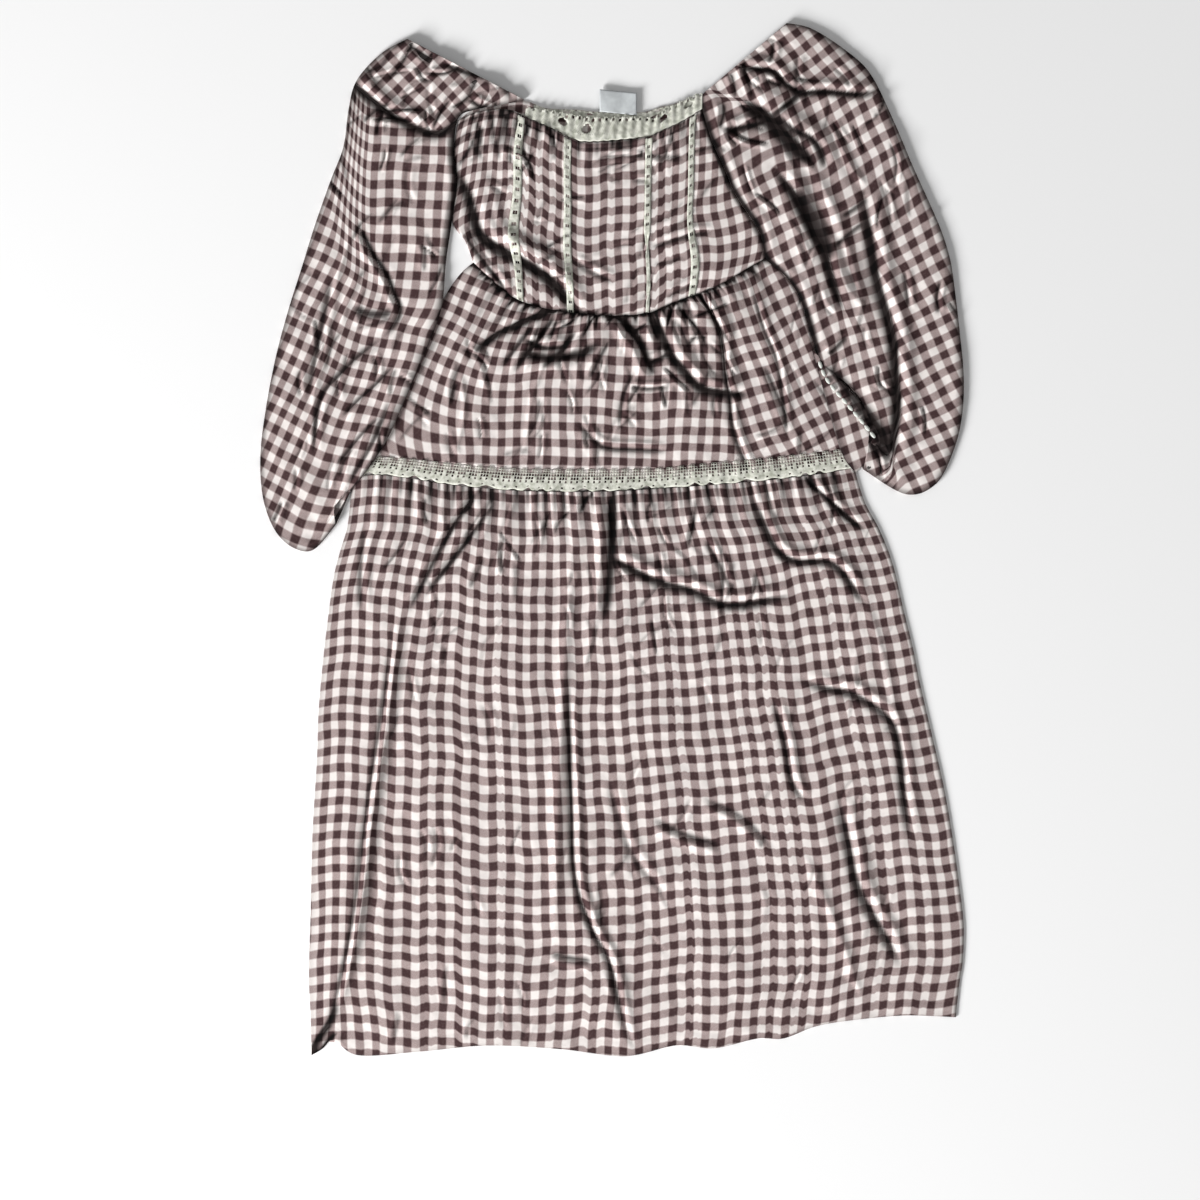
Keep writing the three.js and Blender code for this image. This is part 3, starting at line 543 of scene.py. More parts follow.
skirt_across = np.linspace(0, 1, SKIRT_GRID["across"] + 1)
skirt_down = np.linspace(0, 1, SKIRT_GRID["down"] + 1) ** 1.12
skirt_place = spanned(
    edge(TIER_SEAM, skirt_across), edge(HEM_LINE, skirt_across),
    edge(SKIRT_LEFT, skirt_down), edge(SKIRT_RIGHT, skirt_down), skirt_across, skirt_down,
)
x, y = skirt_place[..., 0], skirt_place[..., 1]
across, down = skirt_across[None] + 0 * x, skirt_down[:, None] + 0 * x
crease, shift, fold = creased(SKIRT_CREASES + crinkled(SKIRT_CRINKLES), x, y)
off_seam = smoothstep(0, 0.06, across) * (1 - smoothstep(0.94, 1, across))
waves = off_seam * gathered(SKIRT_GATHERS, across, down)
hem_waves = HEM["high"] * off_seam * smoothstep(HEM["from"], 1, down) * gather_wave(HEM["waves"], across)
z = FRONT_BASE + inside_body(x, y) * (LOFT + crease + rippled(x, y, 3)) + waves + hem_waves
z = np.clip(z, FRONT_LEAST, FRONT_MOST)
width = x[:, -1:] - x[:, :1]
from_hem = (1 - down) * SKIRT_LONG
from_edge = np.minimum(np.minimum(across, 1 - across) * width, from_hem)
hem_stitch = np.exp(-(((from_hem - HEM["deep"]) / HEM["stitch"]) ** 2))
z = rolled(z, from_edge) - HEM["dip"] * hem_stitch
# Painted shade: in the creases, along the hem stitching, in the pockets between gathers and close to the
# sides and hem.
fold = fold + 0.25 * hem_stitch + off_seam * painted_gather_shade(SKIRT_GATHERS, across, down) + painted_edge_shade(from_edge)
fold = np.clip(fold, 0, 1)
wobble = rippled(x, y, 11) * WOBBLE
cloth = (
    across * SKIRT_CUT[0] / MM + wobble + shift[0],
    -lengths_down(x, y, z) + rippled(x, y, 12) * WOBBLE + shift[1],
)
skirt_front = lay_cloth("skirt_front", x, y, z, cloth, gingham, RIM_LOW, fold)
fitted(skirt_front, "skirt_front")

# The skirt back: the same panel again, flat on the floor under the front.
BACK_GRID = 60


def lay_back(name, top, bottom, left, right, wide, material=gingham):
    """A back panel flat on the floor, as thick as its cloth."""
    share = np.linspace(0, 1, BACK_GRID + 1)
    sides = edge(top, share), edge(bottom, share), edge(left, share), edge(right, share)
    place = spanned(*sides, share, share)
    x, y = place[..., 0], place[..., 1]
    flat = (share[None] * wide / MM + 0 * x, -lengths_down(x, y, 0 * x))
    piece = lay_cloth(name, x, y, 0 * x + BACK_CLOTH, flat, material)
    return fitted(thickened(piece, "cloth", BACK_CLOTH), name)


skirt_back = lay_back("skirt_back", TIER_SEAM, HEM_LINE, SKIRT_LEFT, SKIRT_RIGHT, SKIRT_CUT[0])

# The upper tier: a front and a back panel of the same cotton, gathered into the curved underbust seam.
# Folds run out of the gathers, and the pressed creases across it come from how it was folded for the shelf.
PEPLUM_GRID = {"across": 260, "down": 110}
PEPLUM_GATHERS = {"waves": 17, "high": 2.4, "reach": 0.3}
PEPLUM_LONG = 190
UNDERBUST = [
    (-157, 314), (-127, 286), (-104, 271), (-75, 262), (-43, 257), (-2, 254),
    (41, 257), (71, 269), (107, 282), (133, 295), (154, 308), (174, 319),
]
PEPLUM_HEM = [
    (-285, 95), (-240, 93), (-183, 87), (-127, 82), (-59, 80),
    (43, 81), (99, 86), (167, 92), (212, 97), (269, 104),
]
PEPLUM_LEFT = [
    (-157, 314), (-169, 304), (-181, 289), (-194, 268), (-207, 248), (-219, 227),
    (-231, 202), (-244, 175), (-260, 143), (-276, 112), (-285, 95),
]
PEPLUM_RIGHT = [
    (174, 319), (192, 303), (205, 287), (214, 270), (221, 246), (227, 226),
    (233, 201), (241, 175), (252, 141), (263, 113), (269, 104),
]
PEPLUM_CREASES = [
    (7, 4.4, 1, 3, [(-156, 210), (-144, 224), (-122, 238), (-89, 253), (-68, 266)]),
    (5, 3.2, -1, 0, [(-110, 190), (-95, 212), (-82, 227), (-62, 256)]),
    (5, 3.0, -1, 0, [(-124, 196), (-106, 220), (-86, 246)]),
    (9, 3.8, 0, 3, [(-106, 212), (-70, 207), (-36, 211), (-12, 224)]),
    (6, 3.4, -1, 0, [(-78, 196), (-56, 214), (-40, 238)]),
    (6, 3.0, 1, 0, [(-100, 228), (-76, 218), (-50, 220)]),
    (7, 5.0, -1, 3, [(2, 260), (16, 240), (30, 224), (41, 198), (50, 186)]),
    (5, 3.0, 1, 0, [(40, 200), (56, 207), (66, 214)]),
    (8, 5.2, 1, 4, [(46, 262), (58, 232), (66, 213), (80, 195), (102, 173), (138, 166), (156, 166)]),
    (4, 2.4, 1, 0, [(26, 190), (14, 165), (8, 128)]),
    (4, 2.4, 1, 0, [(20, 173), (42, 172), (64, 174)]),
    (4, 3.0, 1, 0, [(94, 284), (112, 258), (134, 222)]),
    (5, 3.4, 1, 6, [(110, 262), (124, 230), (128, 190), (133, 161), (139, 119), (158, 73)]),
    (4, 2.6, 1, 0, [(158, 290), (172, 240), (188, 198), (199, 113)]),
    (4, 2.2, -1, 0, [(72, 264), (95, 240), (110, 215)]),
    (5, 2.4, 1, 3, [(-40, 136), (-12, 107), (25, 103), (66, 101)]),
    (4, -1.8, 0, 0, [(-172, 190), (-167, 145), (-178, 98)]),
    (5, 2.0, -1, 0, [(171, 200), (188, 160), (203, 126)]),
    (5, 2.2, 1, 0, [(226, 184), (250, 150), (268, 116)]),
    (4, -1.6, 0, 0, [(-60, 235), (-88, 170), (-98, 96)]),
]
PEPLUM_CRINKLES = [
    {"count": 60, "x": (-230, 240), "y": (100, 260), "seed": 83, "turn": 85, "deep": 1.7},
    {"count": 14, "x": (-110, 120), "y": (205, 262), "seed": 90, "turn": 60, "deep": 2.6},
]
# Where the checks turn: line, softness, the place kept in step,
# then the way and the gap of columns and of rows
PEPLUM_ZONES = [
    (None, 0, None, (-2, 17.2), (88, 19.2)),
    ([(-330, 90), (-200, 140), (-120, 215), (-40, 310)], 62, (-158, 178), (-24, 16.2), (66, 19.2)),
    ([(110, 262), (124, 230), (128, 190), (133, 161), (139, 119), (158, 73)], 3, (135, 140), (20, 16.6),
        (108, 19.6)),
    ([(158, 290), (172, 240), (188, 198), (199, 113)], 20, (194, 160), (24, 16.4), (117, 19.6)),
]

share_across = np.linspace(0, 1, PEPLUM_GRID["across"] + 1)
share_down = np.linspace(0, 1, PEPLUM_GRID["down"] + 1)
place = spanned(
    edge(UNDERBUST, share_across), edge(PEPLUM_HEM, share_across),
    edge(PEPLUM_LEFT, share_down), edge(PEPLUM_RIGHT, share_down), share_across, share_down,
)
x, y = place[..., 0], place[..., 1]
across, down = share_across[None] + 0 * x, share_down[:, None] + 0 * x
crease, shift, fold = creased(PEPLUM_CREASES + crinkled(PEPLUM_CRINKLES), x, y)
off_seam = smoothstep(0, 0.08, across) * (1 - smoothstep(0.92, 1, across))
waves = off_seam * gathered(PEPLUM_GATHERS, across, down)
from_seam = down * PEPLUM_LONG
seam_dip = -SEAM_DIP * np.exp(-((from_seam / 4) ** 2))
z = FRONT_BASE + inside_body(x, y) * (LOFT + crease + rippled(x, y, 5)) + waves + seam_dip
z = np.clip(z, FRONT_LEAST, FRONT_MOST)
width = x[:, -1:] - x[:, :1]
from_edge = np.minimum(across, 1 - across) * width
z = rolled(z, from_edge)
# Painted shade: at the underbust seam, between the gathers, in the creases and close to the sides.
fold = fold + painted_edge_shade(from_seam, 0.9, 4) + off_seam * painted_gather_shade(PEPLUM_GATHERS, across, down)
fold = np.clip(fold + painted_edge_shade(from_edge), 0, 1)
pattern = zoned(x, y, PEPLUM_ZONES)
cloth = (
    pattern[0] + rippled(x, y, 21) * WOBBLE + shift[0],
    pattern[1] + rippled(x, y, 22) * WOBBLE + shift[1],
)
peplum_front = lay_cloth("peplum_front", x, y, z, cloth, gingham, RIM_LOW, fold)
fitted(peplum_front, "peplum_front")
peplum_back = lay_back("peplum_back", UNDERBUST, PEPLUM_HEM, PEPLUM_LEFT, PEPLUM_RIGHT, 0.5)

# The bodice: a front and a back panel with curved armholes, gathered along the neckline by elastic in a
# casing.
BODICE_GRID = {"stretch": 20, "down": 110}
BODICE_GATHERS = {"waves": 27, "high": 2.0, "reach": 0.25}
BODICE_FULLNESS = 1.2
BODICE_LONG = 200
BODICE_WIDE = 290
CASING = {"below": 9, "stitch": 1.2, "dip": 0.6}
NECK_RAISE = 1.6
NECK_FRONT = [
    (-174, 475), (-155, 484), (-132, 488), (-112, 486), (-93, 477), (-68, 466),
    (-44, 454), (-23, 451), (36, 456), (55, 463), (77, 473), (102, 488),
]
NECK_BACK = [
    (-174, 477), (-155, 490), (-132, 495), (-110, 499), (-95, 498), (-75, 490),
    (-38, 488), (-20, 486), (34, 485), (52, 490), (70, 494), (102, 503),
]
ARMHOLE_LEFT = [(-174, 475), (-179, 440), (-176, 405), (-181, 362), (-166, 338), (-157, 314)]
ARMHOLE_RIGHT = [(102, 488), (113, 452), (127, 421), (140, 391), (167, 348), (174, 319)]
STRIP_WIDE = 7.5
# Each lace band: its name, and its x at the neckline and at the underbust seam
STRIPS = [
    ("bodice_lace_1", -102, -104), ("bodice_lace_2", -50, -47), ("bodice_lace_3", 42, 40),
        ("bodice_lace_4", 92, 90),
]
BODICE_CREASES = [
    (10, 5.6, 1, 5, [(-182, 424), (-162, 392), (-150, 350), (-130, 332), (-104, 318), (-75, 300),
        (-53, 278), (-36, 250)]),
    (5, 3.0, 1, 0, [(-170, 350), (-147, 318), (-126, 292), (-118, 274)]),
    (8, -2.6, 0, 0, [(-158, 425), (-136, 396), (-126, 360), (-104, 336), (-60, 314)]),
    (5, 2.8, -1, 0, [(104, 480), (122, 424), (134, 390)]),
    (5, 2.4, 1, 0, [(45, 332), (88, 345), (115, 349)]),
    (5, 2.2, 1, 0, [(-46, 318), (-25, 305), (2, 292)]),
    (5, 2.0, 1, 0, [(-168, 360), (-150, 330), (-130, 306)]),
    (6, 3.2, 0, 0, [(-173, 520), (-176, 475), (-180, 440), (-177, 405), (-182, 350), (-165, 320),
        (-150, 280)]),
    (6, 3.2, 0, 0, [(94, 520), (101, 488), (112, 452), (126, 421), (139, 391), (166, 348), (174, 319),
        (185, 280)]),
    (4, 2.6, 1, 0, [(-158, 486), (-150, 462), (-152, 436)]),
    (4, 2.6, -1, 0, [(-140, 488), (-134, 460), (-128, 430)]),
    (4, 2.2, 1, 0, [(-122, 486), (-118, 462), (-124, 440)]),
]
BODICE_CRINKLES = [
    {"count": 34, "x": (-170, 110), "y": (280, 450), "seed": 84, "turn": 20, "deep": 1.5},
    {"count": 22, "x": (-175, -60), "y": (420, 482), "seed": 85, "turn": 80, "deep": 2.4},
]


def crossing(rows, x):
    """Points of an edge at the given x."""
    line = edge(rows, np.linspace(0, 1, 800))
    return np.stack([x, np.interp(x, line[:, 0], line[:, 1])], -1)


def threads(rows, which):
    """x along the neckline or the seam, with the same number of steps in each stretch between lace bands."""
    stops = [strip[which] + side * STRIP_WIDE / 2 for strip in STRIPS for side in (-1, 1)]
    places = [rows[0][0], *stops, rows[-1][0]]
    steps = np.linspace(0, len(places) - 1, (len(places) - 1) * BODICE_GRID["stretch"] + 1)
    return np.interp(steps, range(len(places)), places)


top_x, bottom_x = threads(NECK_FRONT, 1), threads(UNDERBUST, 2)
share_across = np.linspace(0, 1, len(top_x))
share_down = np.linspace(0, 1, BODICE_GRID["down"] + 1)
place = spanned(
    crossing(NECK_FRONT, top_x), crossing(UNDERBUST, bottom_x),
    curve(ARMHOLE_LEFT, share_down * 5), curve(ARMHOLE_RIGHT, share_down * 5),
    share_across, share_down, hold=4,
)
x, y = place[..., 0], place[..., 1]
across = (x - x[:, :1]) / (x[:, -1:] - x[:, :1])
down = share_down[:, None] + 0 * x
crease, shift, fold = creased(BODICE_CREASES + crinkled(BODICE_CRINKLES), x, y)
off_seam = smoothstep(0, 0.03, across) * (1 - smoothstep(0.97, 1, across))
waves = off_seam * gathered(BODICE_GATHERS, across, down)
from_neck, from_seam = down * BODICE_LONG, (1 - down) * BODICE_LONG
seam_dip = -SEAM_DIP * np.exp(-((from_seam / 4) ** 2))
raised = NECK_RAISE * (1 - smoothstep(0, 0.25, down))
z = FRONT_BASE + raised + inside_body(x, y) * (LOFT + crease + rippled(x, y, 7)) + waves + seam_dip
z = np.clip(z, FRONT_LEAST, FRONT_MOST)
from_edge = np.minimum(np.minimum(across, 1 - across) * BODICE_WIDE, from_neck)
casing = np.exp(-(((from_neck - CASING["below"]) / CASING["stitch"]) ** 2))
z = rolled(z, from_edge, 2.5) - CASING["dip"] * casing
# Painted shade along the casing stitching, at the underbust seam, in the creases and between the gathers.
at_seam = np.exp(-((from_seam / 2.5) ** 2))
fold = fold + 0.3 * casing + 0.8 * at_seam + off_seam * painted_gather_shade(BODICE_GATHERS, across, down)
fold = np.clip(fold, 0, 1)
stretch = BODICE_GRID["stretch"]
seen = BODICE_FULLNESS * bottom_x[None] + 0 * x
beyond = np.minimum(x - x[:, stretch : stretch + 1], 0)
seen[:, :stretch] = (seen[:, stretch : stretch + 1] + (1.75 - 0.45 * down) * beyond)[:, :stretch]
last = 8 * stretch
beyond = np.maximum(x - x[:, last : last + 1], 0)
seen[:, last:] = (seen[:, last : last + 1] + 1.25 * beyond)[:, last:]
cloth = (seen + rippled(x, y, 31) + shift[0], -lengths_down(x, y, z) + rippled(x, y, 32) + shift[1])
bodice_front = lay_cloth("bodice_front", x, y, z, cloth, gingham, RIM_LOW, fold)
bodice_net = (x, y, z)
fitted(bodice_front, "bodice_front")

back_left = [(-174, 475), *ARMHOLE_LEFT[1:]]
back_right = [(102, 503), *ARMHOLE_RIGHT[1:]]
bodice_back = lay_back("bodice_back", NECK_BACK, UNDERBUST, back_left, back_right, 0.33)

# The lace bands of the bodice: four narrow strips of cotton lace, sewn flat down the front over its gathers.
LACE_COLOUR = (0.74, 0.74, 0.66, 1)
LACE_SHADE = (0.40, 0.41, 0.34, 1)
LACE_LIFT = 0.5


def thread_group():
    """Loose spun threads: a mottled value between 0 and 1, and the height of the threads."""
    outputs = {"Value": "NodeSocketFloat", "Height": "NodeSocketFloat"}
    group, given, out = group_of("loose threads", {"Coarse": 160, "Fine": 1500}, outputs)
    for scale, output in (("Coarse", "Value"), ("Fine", "Height")):
        inputs = {"Detail": 4, "Vector": given["Cloth"], "Scale": given[scale]}
        noise = node(group, "ShaderNodeTexNoise", inputs)
        group.links.new(noise.outputs["Fac"], out[output])
    return group


loose_threads = thread_group()


def threaded_material(name, light, dark, roughness, coarse, fine):
    material = plain_material(name, light, roughness)
    tree = material.node_tree
    cloth = node(tree, "ShaderNodeUVMap", uv_map="cloth").outputs["UV"]
    sizes = {"Coarse": coarse, "Fine": fine, "Cloth": cloth}
    threads = node(tree, "ShaderNodeGroup", sizes, node_tree=loose_threads).outputs
    ramp = node(tree, "ShaderNodeValToRGB", {"Fac": threads["Value"]})
    for stop, place, colour in zip(ramp.color_ramp.elements, (0.34, 0.6), (dark, light)):
        stop.position, stop.color = place, colour
    bump = node(tree, "ShaderNodeBump", {"Strength": 0.5, "Distance": 0.0003, "Height": threads["Height"]})
    shader = tree.nodes["Principled BSDF"]
    tree.links.new(ramp.outputs["Color"], shader.inputs["Base Color"])
    tree.links.new(bump.outputs["Normal"], shader.inputs["Normal"])
    return material


lace_material = threaded_material("lace", LACE_COLOUR, LACE_SHADE, 0.95, 170, 1500)

STRIP_STEP = {"across": 5, "down": 2}
TAPE = {"name": "bodice_lace_3", "below": 345, "share": 0.5, "soft": 6}

for which, (name, top, bottom) in enumerate(STRIPS):
    first = (2 * which + 1) * BODICE_GRID["stretch"]
    part = slice(first, first + BODICE_GRID["stretch"] + 1, STRIP_STEP["across"])
    x, y, z = (net[:: STRIP_STEP["down"], part] for net in bodice_net)
    if name == TAPE["name"]:
        narrow = 1 - TAPE["share"] * smoothstep(TAPE["below"] + TAPE["soft"], TAPE["below"] - TAPE["soft"], y)
        x = x.mean(axis=1)[:, None] + (x - x.mean(axis=1)[:, None]) * narrow
    rows, columns = x.shape
    row, column = np.meshgrid(np.arange(rows - 1), np.arange(columns - 1), indexing="ij")
    outer = (column == 0) | (column == columns - 2)
    holes = np.where(outer, -1, np.where(row % 3 == 0, 0.25, -1))
    if name == TAPE["name"]:
        holes[y[1:, :1].repeat(columns - 1, 1) < TAPE["below"]] = -1
    lace = lay_cloth(name, x, y, z + LACE_LIFT + 0.4, (x, y), lace_material, holes=holes)
    fitted(thickened(lace, "cord", LACE_LIFT), name)

# The neckline lace: eyelet trim standing along the front neckline, and the same trim inside the back
# neckline.
NECK_LACE_START = 0.27
NECK_LACE_EDGE = [
    (-97, 490), (-84, 488), (-68, 486), (-44, 482), (-23, 479),
    (36, 479), (46, 477), (58, 486), (77, 496), (102, 507),
]
NECK_LACE_Z = 6.0
BACK_LACE = {"from": 0.32, "to": 0.97, "below": 1, "wide": 7}
BACK_LACE_Z = 2.2
NECK_LACE_CUT = (0.23, 0.024)
NECK_LACE_CELLS = {"across": 220, "down": 16}
RUFFLES = {"count": 21, "sway": 0.8, "high": 0.9}
EYELETS = [(48, 0.45), (79, 0.5), (176, 0.4), (211, 0.35)]
EYELET = {"long": 6.0, "high": 0.17}


def eyelet_holes(cells):
    """A picot edge, a ladder of small holes, a row of oval eyelets in a fine net, and a plain foot."""
    row, cell = np.meshgrid(np.arange(cells["down"]), np.arange(cells["across"]), indexing="ij")
    down, along = (row + 0.5) / cells["down"], (cell + 0.5) * NECK_LACE_CUT[0] / MM / cells["across"]
    ovals = [
        ((along - at) / EYELET["long"]) ** 2 + ((down - level) / EYELET["high"]) ** 2 for at, level in EYELETS
    ]
    oval = np.min(ovals, axis=0)
    holes = np.where((row + cell) % 2 == 0, 0.3, -1.0)
    holes[(down > 0.72) | (oval < 1.9)] = -1
    holes[oval < 1] = 0
    holes[0] = np.where(cell[0] % 3 == 0, 0.0, -1)
    holes[1:3] = np.where(cell[0] % 8 < 3, 0.0, -1)
    return holes


share = np.linspace(0, 1, NECK_LACE_CELLS["across"] + 1)
rise = np.linspace(1, 0, NECK_LACE_CELLS["down"] + 1)[:, None, None]
foot = edge(NECK_FRONT, NECK_LACE_START + (1 - NECK_LACE_START) * share)[None]
place = foot * (1 - rise) + edge(NECK_LACE_EDGE, share)[None] * rise
x, y = place[..., 0], place[..., 1]
ruffle = np.sin(share * 2 * math.pi * RUFFLES["count"]) * (0.4 + 0.6 * rise[..., 0])
y = y + RUFFLES["sway"] * ruffle
z = NECK_LACE_Z + 0.3 * rippled(x, y, 41) + RUFFLES["high"] * ruffle
cloth = (lengths_down(x.T, y.T, z.T).T, -lengths_down(x, y, z))
eyelets = eyelet_holes(NECK_LACE_CELLS)
neck_lace_front = lay_cloth("neck_lace_front", x, y, z, cloth, lace_material, holes=eyelets)

edge_line = edge(NECK_BACK, BACK_LACE["from"] + (BACK_LACE["to"] - BACK_LACE["from"]) * share)
step = np.linspace(0, BACK_LACE["wide"], NECK_LACE_CELLS["down"] + 1)[:, None]
x = edge_line[None, :, 0] + 0 * step
y = edge_line[None, :, 1] - BACK_LACE["below"] - step
z = BACK_LACE_Z + 0.1 * rippled(x, y, 42)
cloth = (lengths_down(x.T, y.T, z.T).T, -lengths_down(x, y, z))
neck_lace_back = lay_cloth("neck_lace_back", x, y, z, cloth, lace_material, holes=eyelets)
for trim, name in ((neck_lace_front, "neck_lace_front"), (neck_lace_back, "neck_lace_back")):
    fitted(thickened(trim, "cord", LACE_LIFT), name)

# The tier lace: a wide band of openwork cotton lace let in between the tiers, front and back. A narrow
# strip of the checked cotton backs the front one, and shows through its upper half.
TIER_LACE_CUT = (0.57, 0.026)
TIER_NOTCHES = {"count": 27, "high": 4.5}
TIER_LACE_CELLS = {"across": 176, "down": 8}
TIER_LINING_GRID = {"across": 240, "down": 12}
TIER_LACE_LIFT = 0.9
LINING_LEFT = [PEPLUM_HEM[0], TIER_SEAM[0]]
LINING_RIGHT = [PEPLUM_HEM[-1], TIER_SEAM[-1]]


def tier_band(across_steps, down_steps):
    share, rows = np.linspace(0, 1, across_steps + 1), np.linspace(0, 1, down_steps + 1)
    place = spanned(
        edge(PEPLUM_HEM, share), edge(TIER_SEAM, share),
        curve(LINING_LEFT, rows), curve(LINING_RIGHT, rows), share, rows,
    )
    x, y = place[..., 0], place[..., 1]
    crease, shift, fold = creased(PEPLUM_CREASES + SKIRT_CREASES, x, y)
    above = 0.4 * (1 - rows[:, None]) * SKIRT_GATHERS["reach"]
    puckers = 0.5 * gathered(SKIRT_GATHERS, share[None] + 0 * x, above)
    z = FRONT_BASE + inside_body(x, y) * (LOFT + 0.6 * crease + rippled(x, y, 5)) + puckers
    return x, y, np.clip(z, FRONT_LEAST, FRONT_MOST), fold


x, y, z, fold = tier_band(TIER_LINING_GRID["across"], TIER_LINING_GRID["down"])
pattern = zoned(x, y, PEPLUM_ZONES)
rows = np.linspace(0, 1, TIER_LINING_GRID["down"] + 1)[:, None]
# Painted shade darkens the lining towards its lower edge, so that it shows dark through the notches of the
# lace.
fold = 1 - (1 - fold) * (1 - 0.85 * smoothstep(0.7, 0.92, rows))
tier_lining = lay_cloth("tier_lining", x, y, z - 0.2, pattern, gingham, RIM_LOW, fold)
fitted(tier_lining)

x, y, z, fold = tier_band(TIER_LACE_CELLS["across"], TIER_LACE_CELLS["down"])
rows = np.linspace(0, 1, TIER_LACE_CELLS["down"] + 1)[:, None]
run = np.linspace(0, TIER_NOTCHES["count"], TIER_LACE_CELLS["across"] + 1)[None]
notch = 0.5 + 0.5 * np.sin(2 * math.pi * run + 1.8 * np.sin(run * 1.3) + np.sin(run * 0.47))
y = y + TIER_NOTCHES["high"] * (0.6 + 0.4 * np.sin(run * 2.1)) * notch**2 * rows**3
cell = np.arange(TIER_LACE_CELLS["across"])
holes = np.full((TIER_LACE_CELLS["down"], TIER_LACE_CELLS["across"]), -1.0)
holes[0] = np.where(cell % 4 < 2, 0.0, 0.5)
holes[1] = np.where(cell % 4 == 1, 0.0, 0.45)
holes[2] = 0.5
holes[3] = np.where(cell % 4 == 3, -1, 0.55)
holes[4] = np.where(cell % 2 == 0, 0.8, -1)
holes[6] = np.where(cell % 4 == 1, 0.7, -1)
z = z + TIER_LACE_LIFT
tier_lace_front = lay_cloth("tier_lace_front", x, y, z, (x, y), lace_material, holes=holes)
fitted(thickened(tier_lace_front, "cord", LACE_LIFT), "tier_lace_front")
tier_lace_back = lay_back(
    "tier_lace_back", PEPLUM_HEM, TIER_SEAM, LINING_LEFT, LINING_RIGHT, TIER_LACE_CUT[0],
    lace_material,
)

# The sleeves: each one tube of the same cotton, gathered by elastic at the neckline and at the cuff,
# where its cloth is turned in for a casing. The left one lies over the side of the body.
SLEEVE_GRID = {"top": 130, "under": 24, "along": 300}
SLEEVE_LOFT = 7
SLEEVE_LEAST = 4.2
SLEEVE_MOST = 12
SLEEVE_EDGE = 2.6
SLEEVE_ROOM = 1.6
PAINTED_EDGE_SHADE = {"most": 0.8, "reach": 6}
PAINTED_INSIDE_SHADE = 0.93
INSIDE_DROP = 0.8
SLEEVE_OVER = {"below": 320, "from": 2, "to": 18}
CUFF_BACK = [0, 6, 13, 20, 28]
SLEEVE_NECK_GATHERS = {"waves": 5, "high": 2.2, "reach": 0.16}
SLEEVE_CUFF_GATHERS = {"waves": 5, "high": 2.0, "reach": 0.14}
SLEEVE_LEFT = {
    "left": [
        (-232, 567), (-262, 550), (-289, 520), (-298, 488), (-304, 445), (-318, 408), (-336, 357),
        (-350, 312),
        (-367, 258), (-381, 205), (-392, 147), (-398, 95), (-395, 48), (-382, 12), (-362, -8),
        (-338, -11), (-312, 18),
    ],
    "right": [
        (-99, 498), (-127, 492), (-155, 487), (-174, 477), (-179, 440), (-176, 405), (-181, 362),
        (-188, 314),
        (-193, 262), (-212, 209), (-235, 156), (-253, 116), (-269, 90), (-281, 73), (-289, 64),
        (-293, 60), (-295, 57),
    ],
    "lip": (-0.92 * 0.35, 0.4 * 0.35),
}
SLEEVE_RIGHT = {
    "left": [
        (102, 504), (102, 488), (113, 452), (127, 421), (140, 391), (167, 348), (174, 319), (192, 303),
        (205, 287), (214, 270), (221, 246), (227, 226), (231, 212), (233, 206), (234, 203), (235, 201),
        (236, 199),
    ],
    "right": [
        (198, 585), (225, 579), (262, 556), (292, 528), (318, 476), (340, 424), (359, 382), (373, 349),
        (383, 316), (388, 282), (393, 240), (398, 185), (396, 140), (386, 100), (366, 63), (332, 52),
        (284, 80),
    ],
    "lip": (0.93, 0.36),
}
LEFT_CREASES = [
    (6, 3.2, 0, 0, [(-130, 492), (-155, 487), (-173, 477), (-179, 440), (-176, 405), (-181, 362),
        (-190, 300)]),
    (8, 4.6, 1, 4, [(-306, 526), (-292, 516), (-257, 487), (-228, 470), (-199, 461), (-176, 472),
        (-160, 484)]),
    (5, 2.6, -1, 0, [(-230, 560), (-216, 550), (-204, 540)]),
    (6, 3.0, 1, 0, [(-196, 540), (-160, 529), (-127, 520), (-113, 497)]),
    (5, 2.6, 1, 0, [(-162, 499), (-145, 489), (-125, 479)]),
    (5, 3.6, -1, 4, [(-290, 362), (-272, 325), (-262, 310), (-253, 295), (-247, 278), (-240, 262),
        (-245, 246), (-258, 230)]),
    (9, 3.4, 0, 0, [(-294, 263), (-270, 256), (-246, 258)]),
    (5, 3.0, 1, 0, [(-258, 230), (-290, 205), (-310, 185), (-325, 168), (-333, 145), (-338, 96)]),
    (4, 3.0, 1, 0, [(-246, 198), (-268, 175), (-285, 160), (-305, 140)]),
    (5, -2.4, 0, 0, [(-291, 354), (-306, 312), (-315, 280)]),
    (5, -2.4, 0, 0, [(-283, 304), (-298, 272), (-307, 242)]),
    (5, -2.4, 0, 0, [(-335, 200), (-336, 150), (-340, 94)]),
    (4, 2.8, 1, 0, [(-262, 140), (-284, 118), (-312, 84)]),
    (6, 2.8, 1, 0, [(-316, 300), (-330, 230), (-344, 160)]),
    (5, 2.6, 1, 0, [(-250, 160), (-270, 110), (-300, 60)]),
]
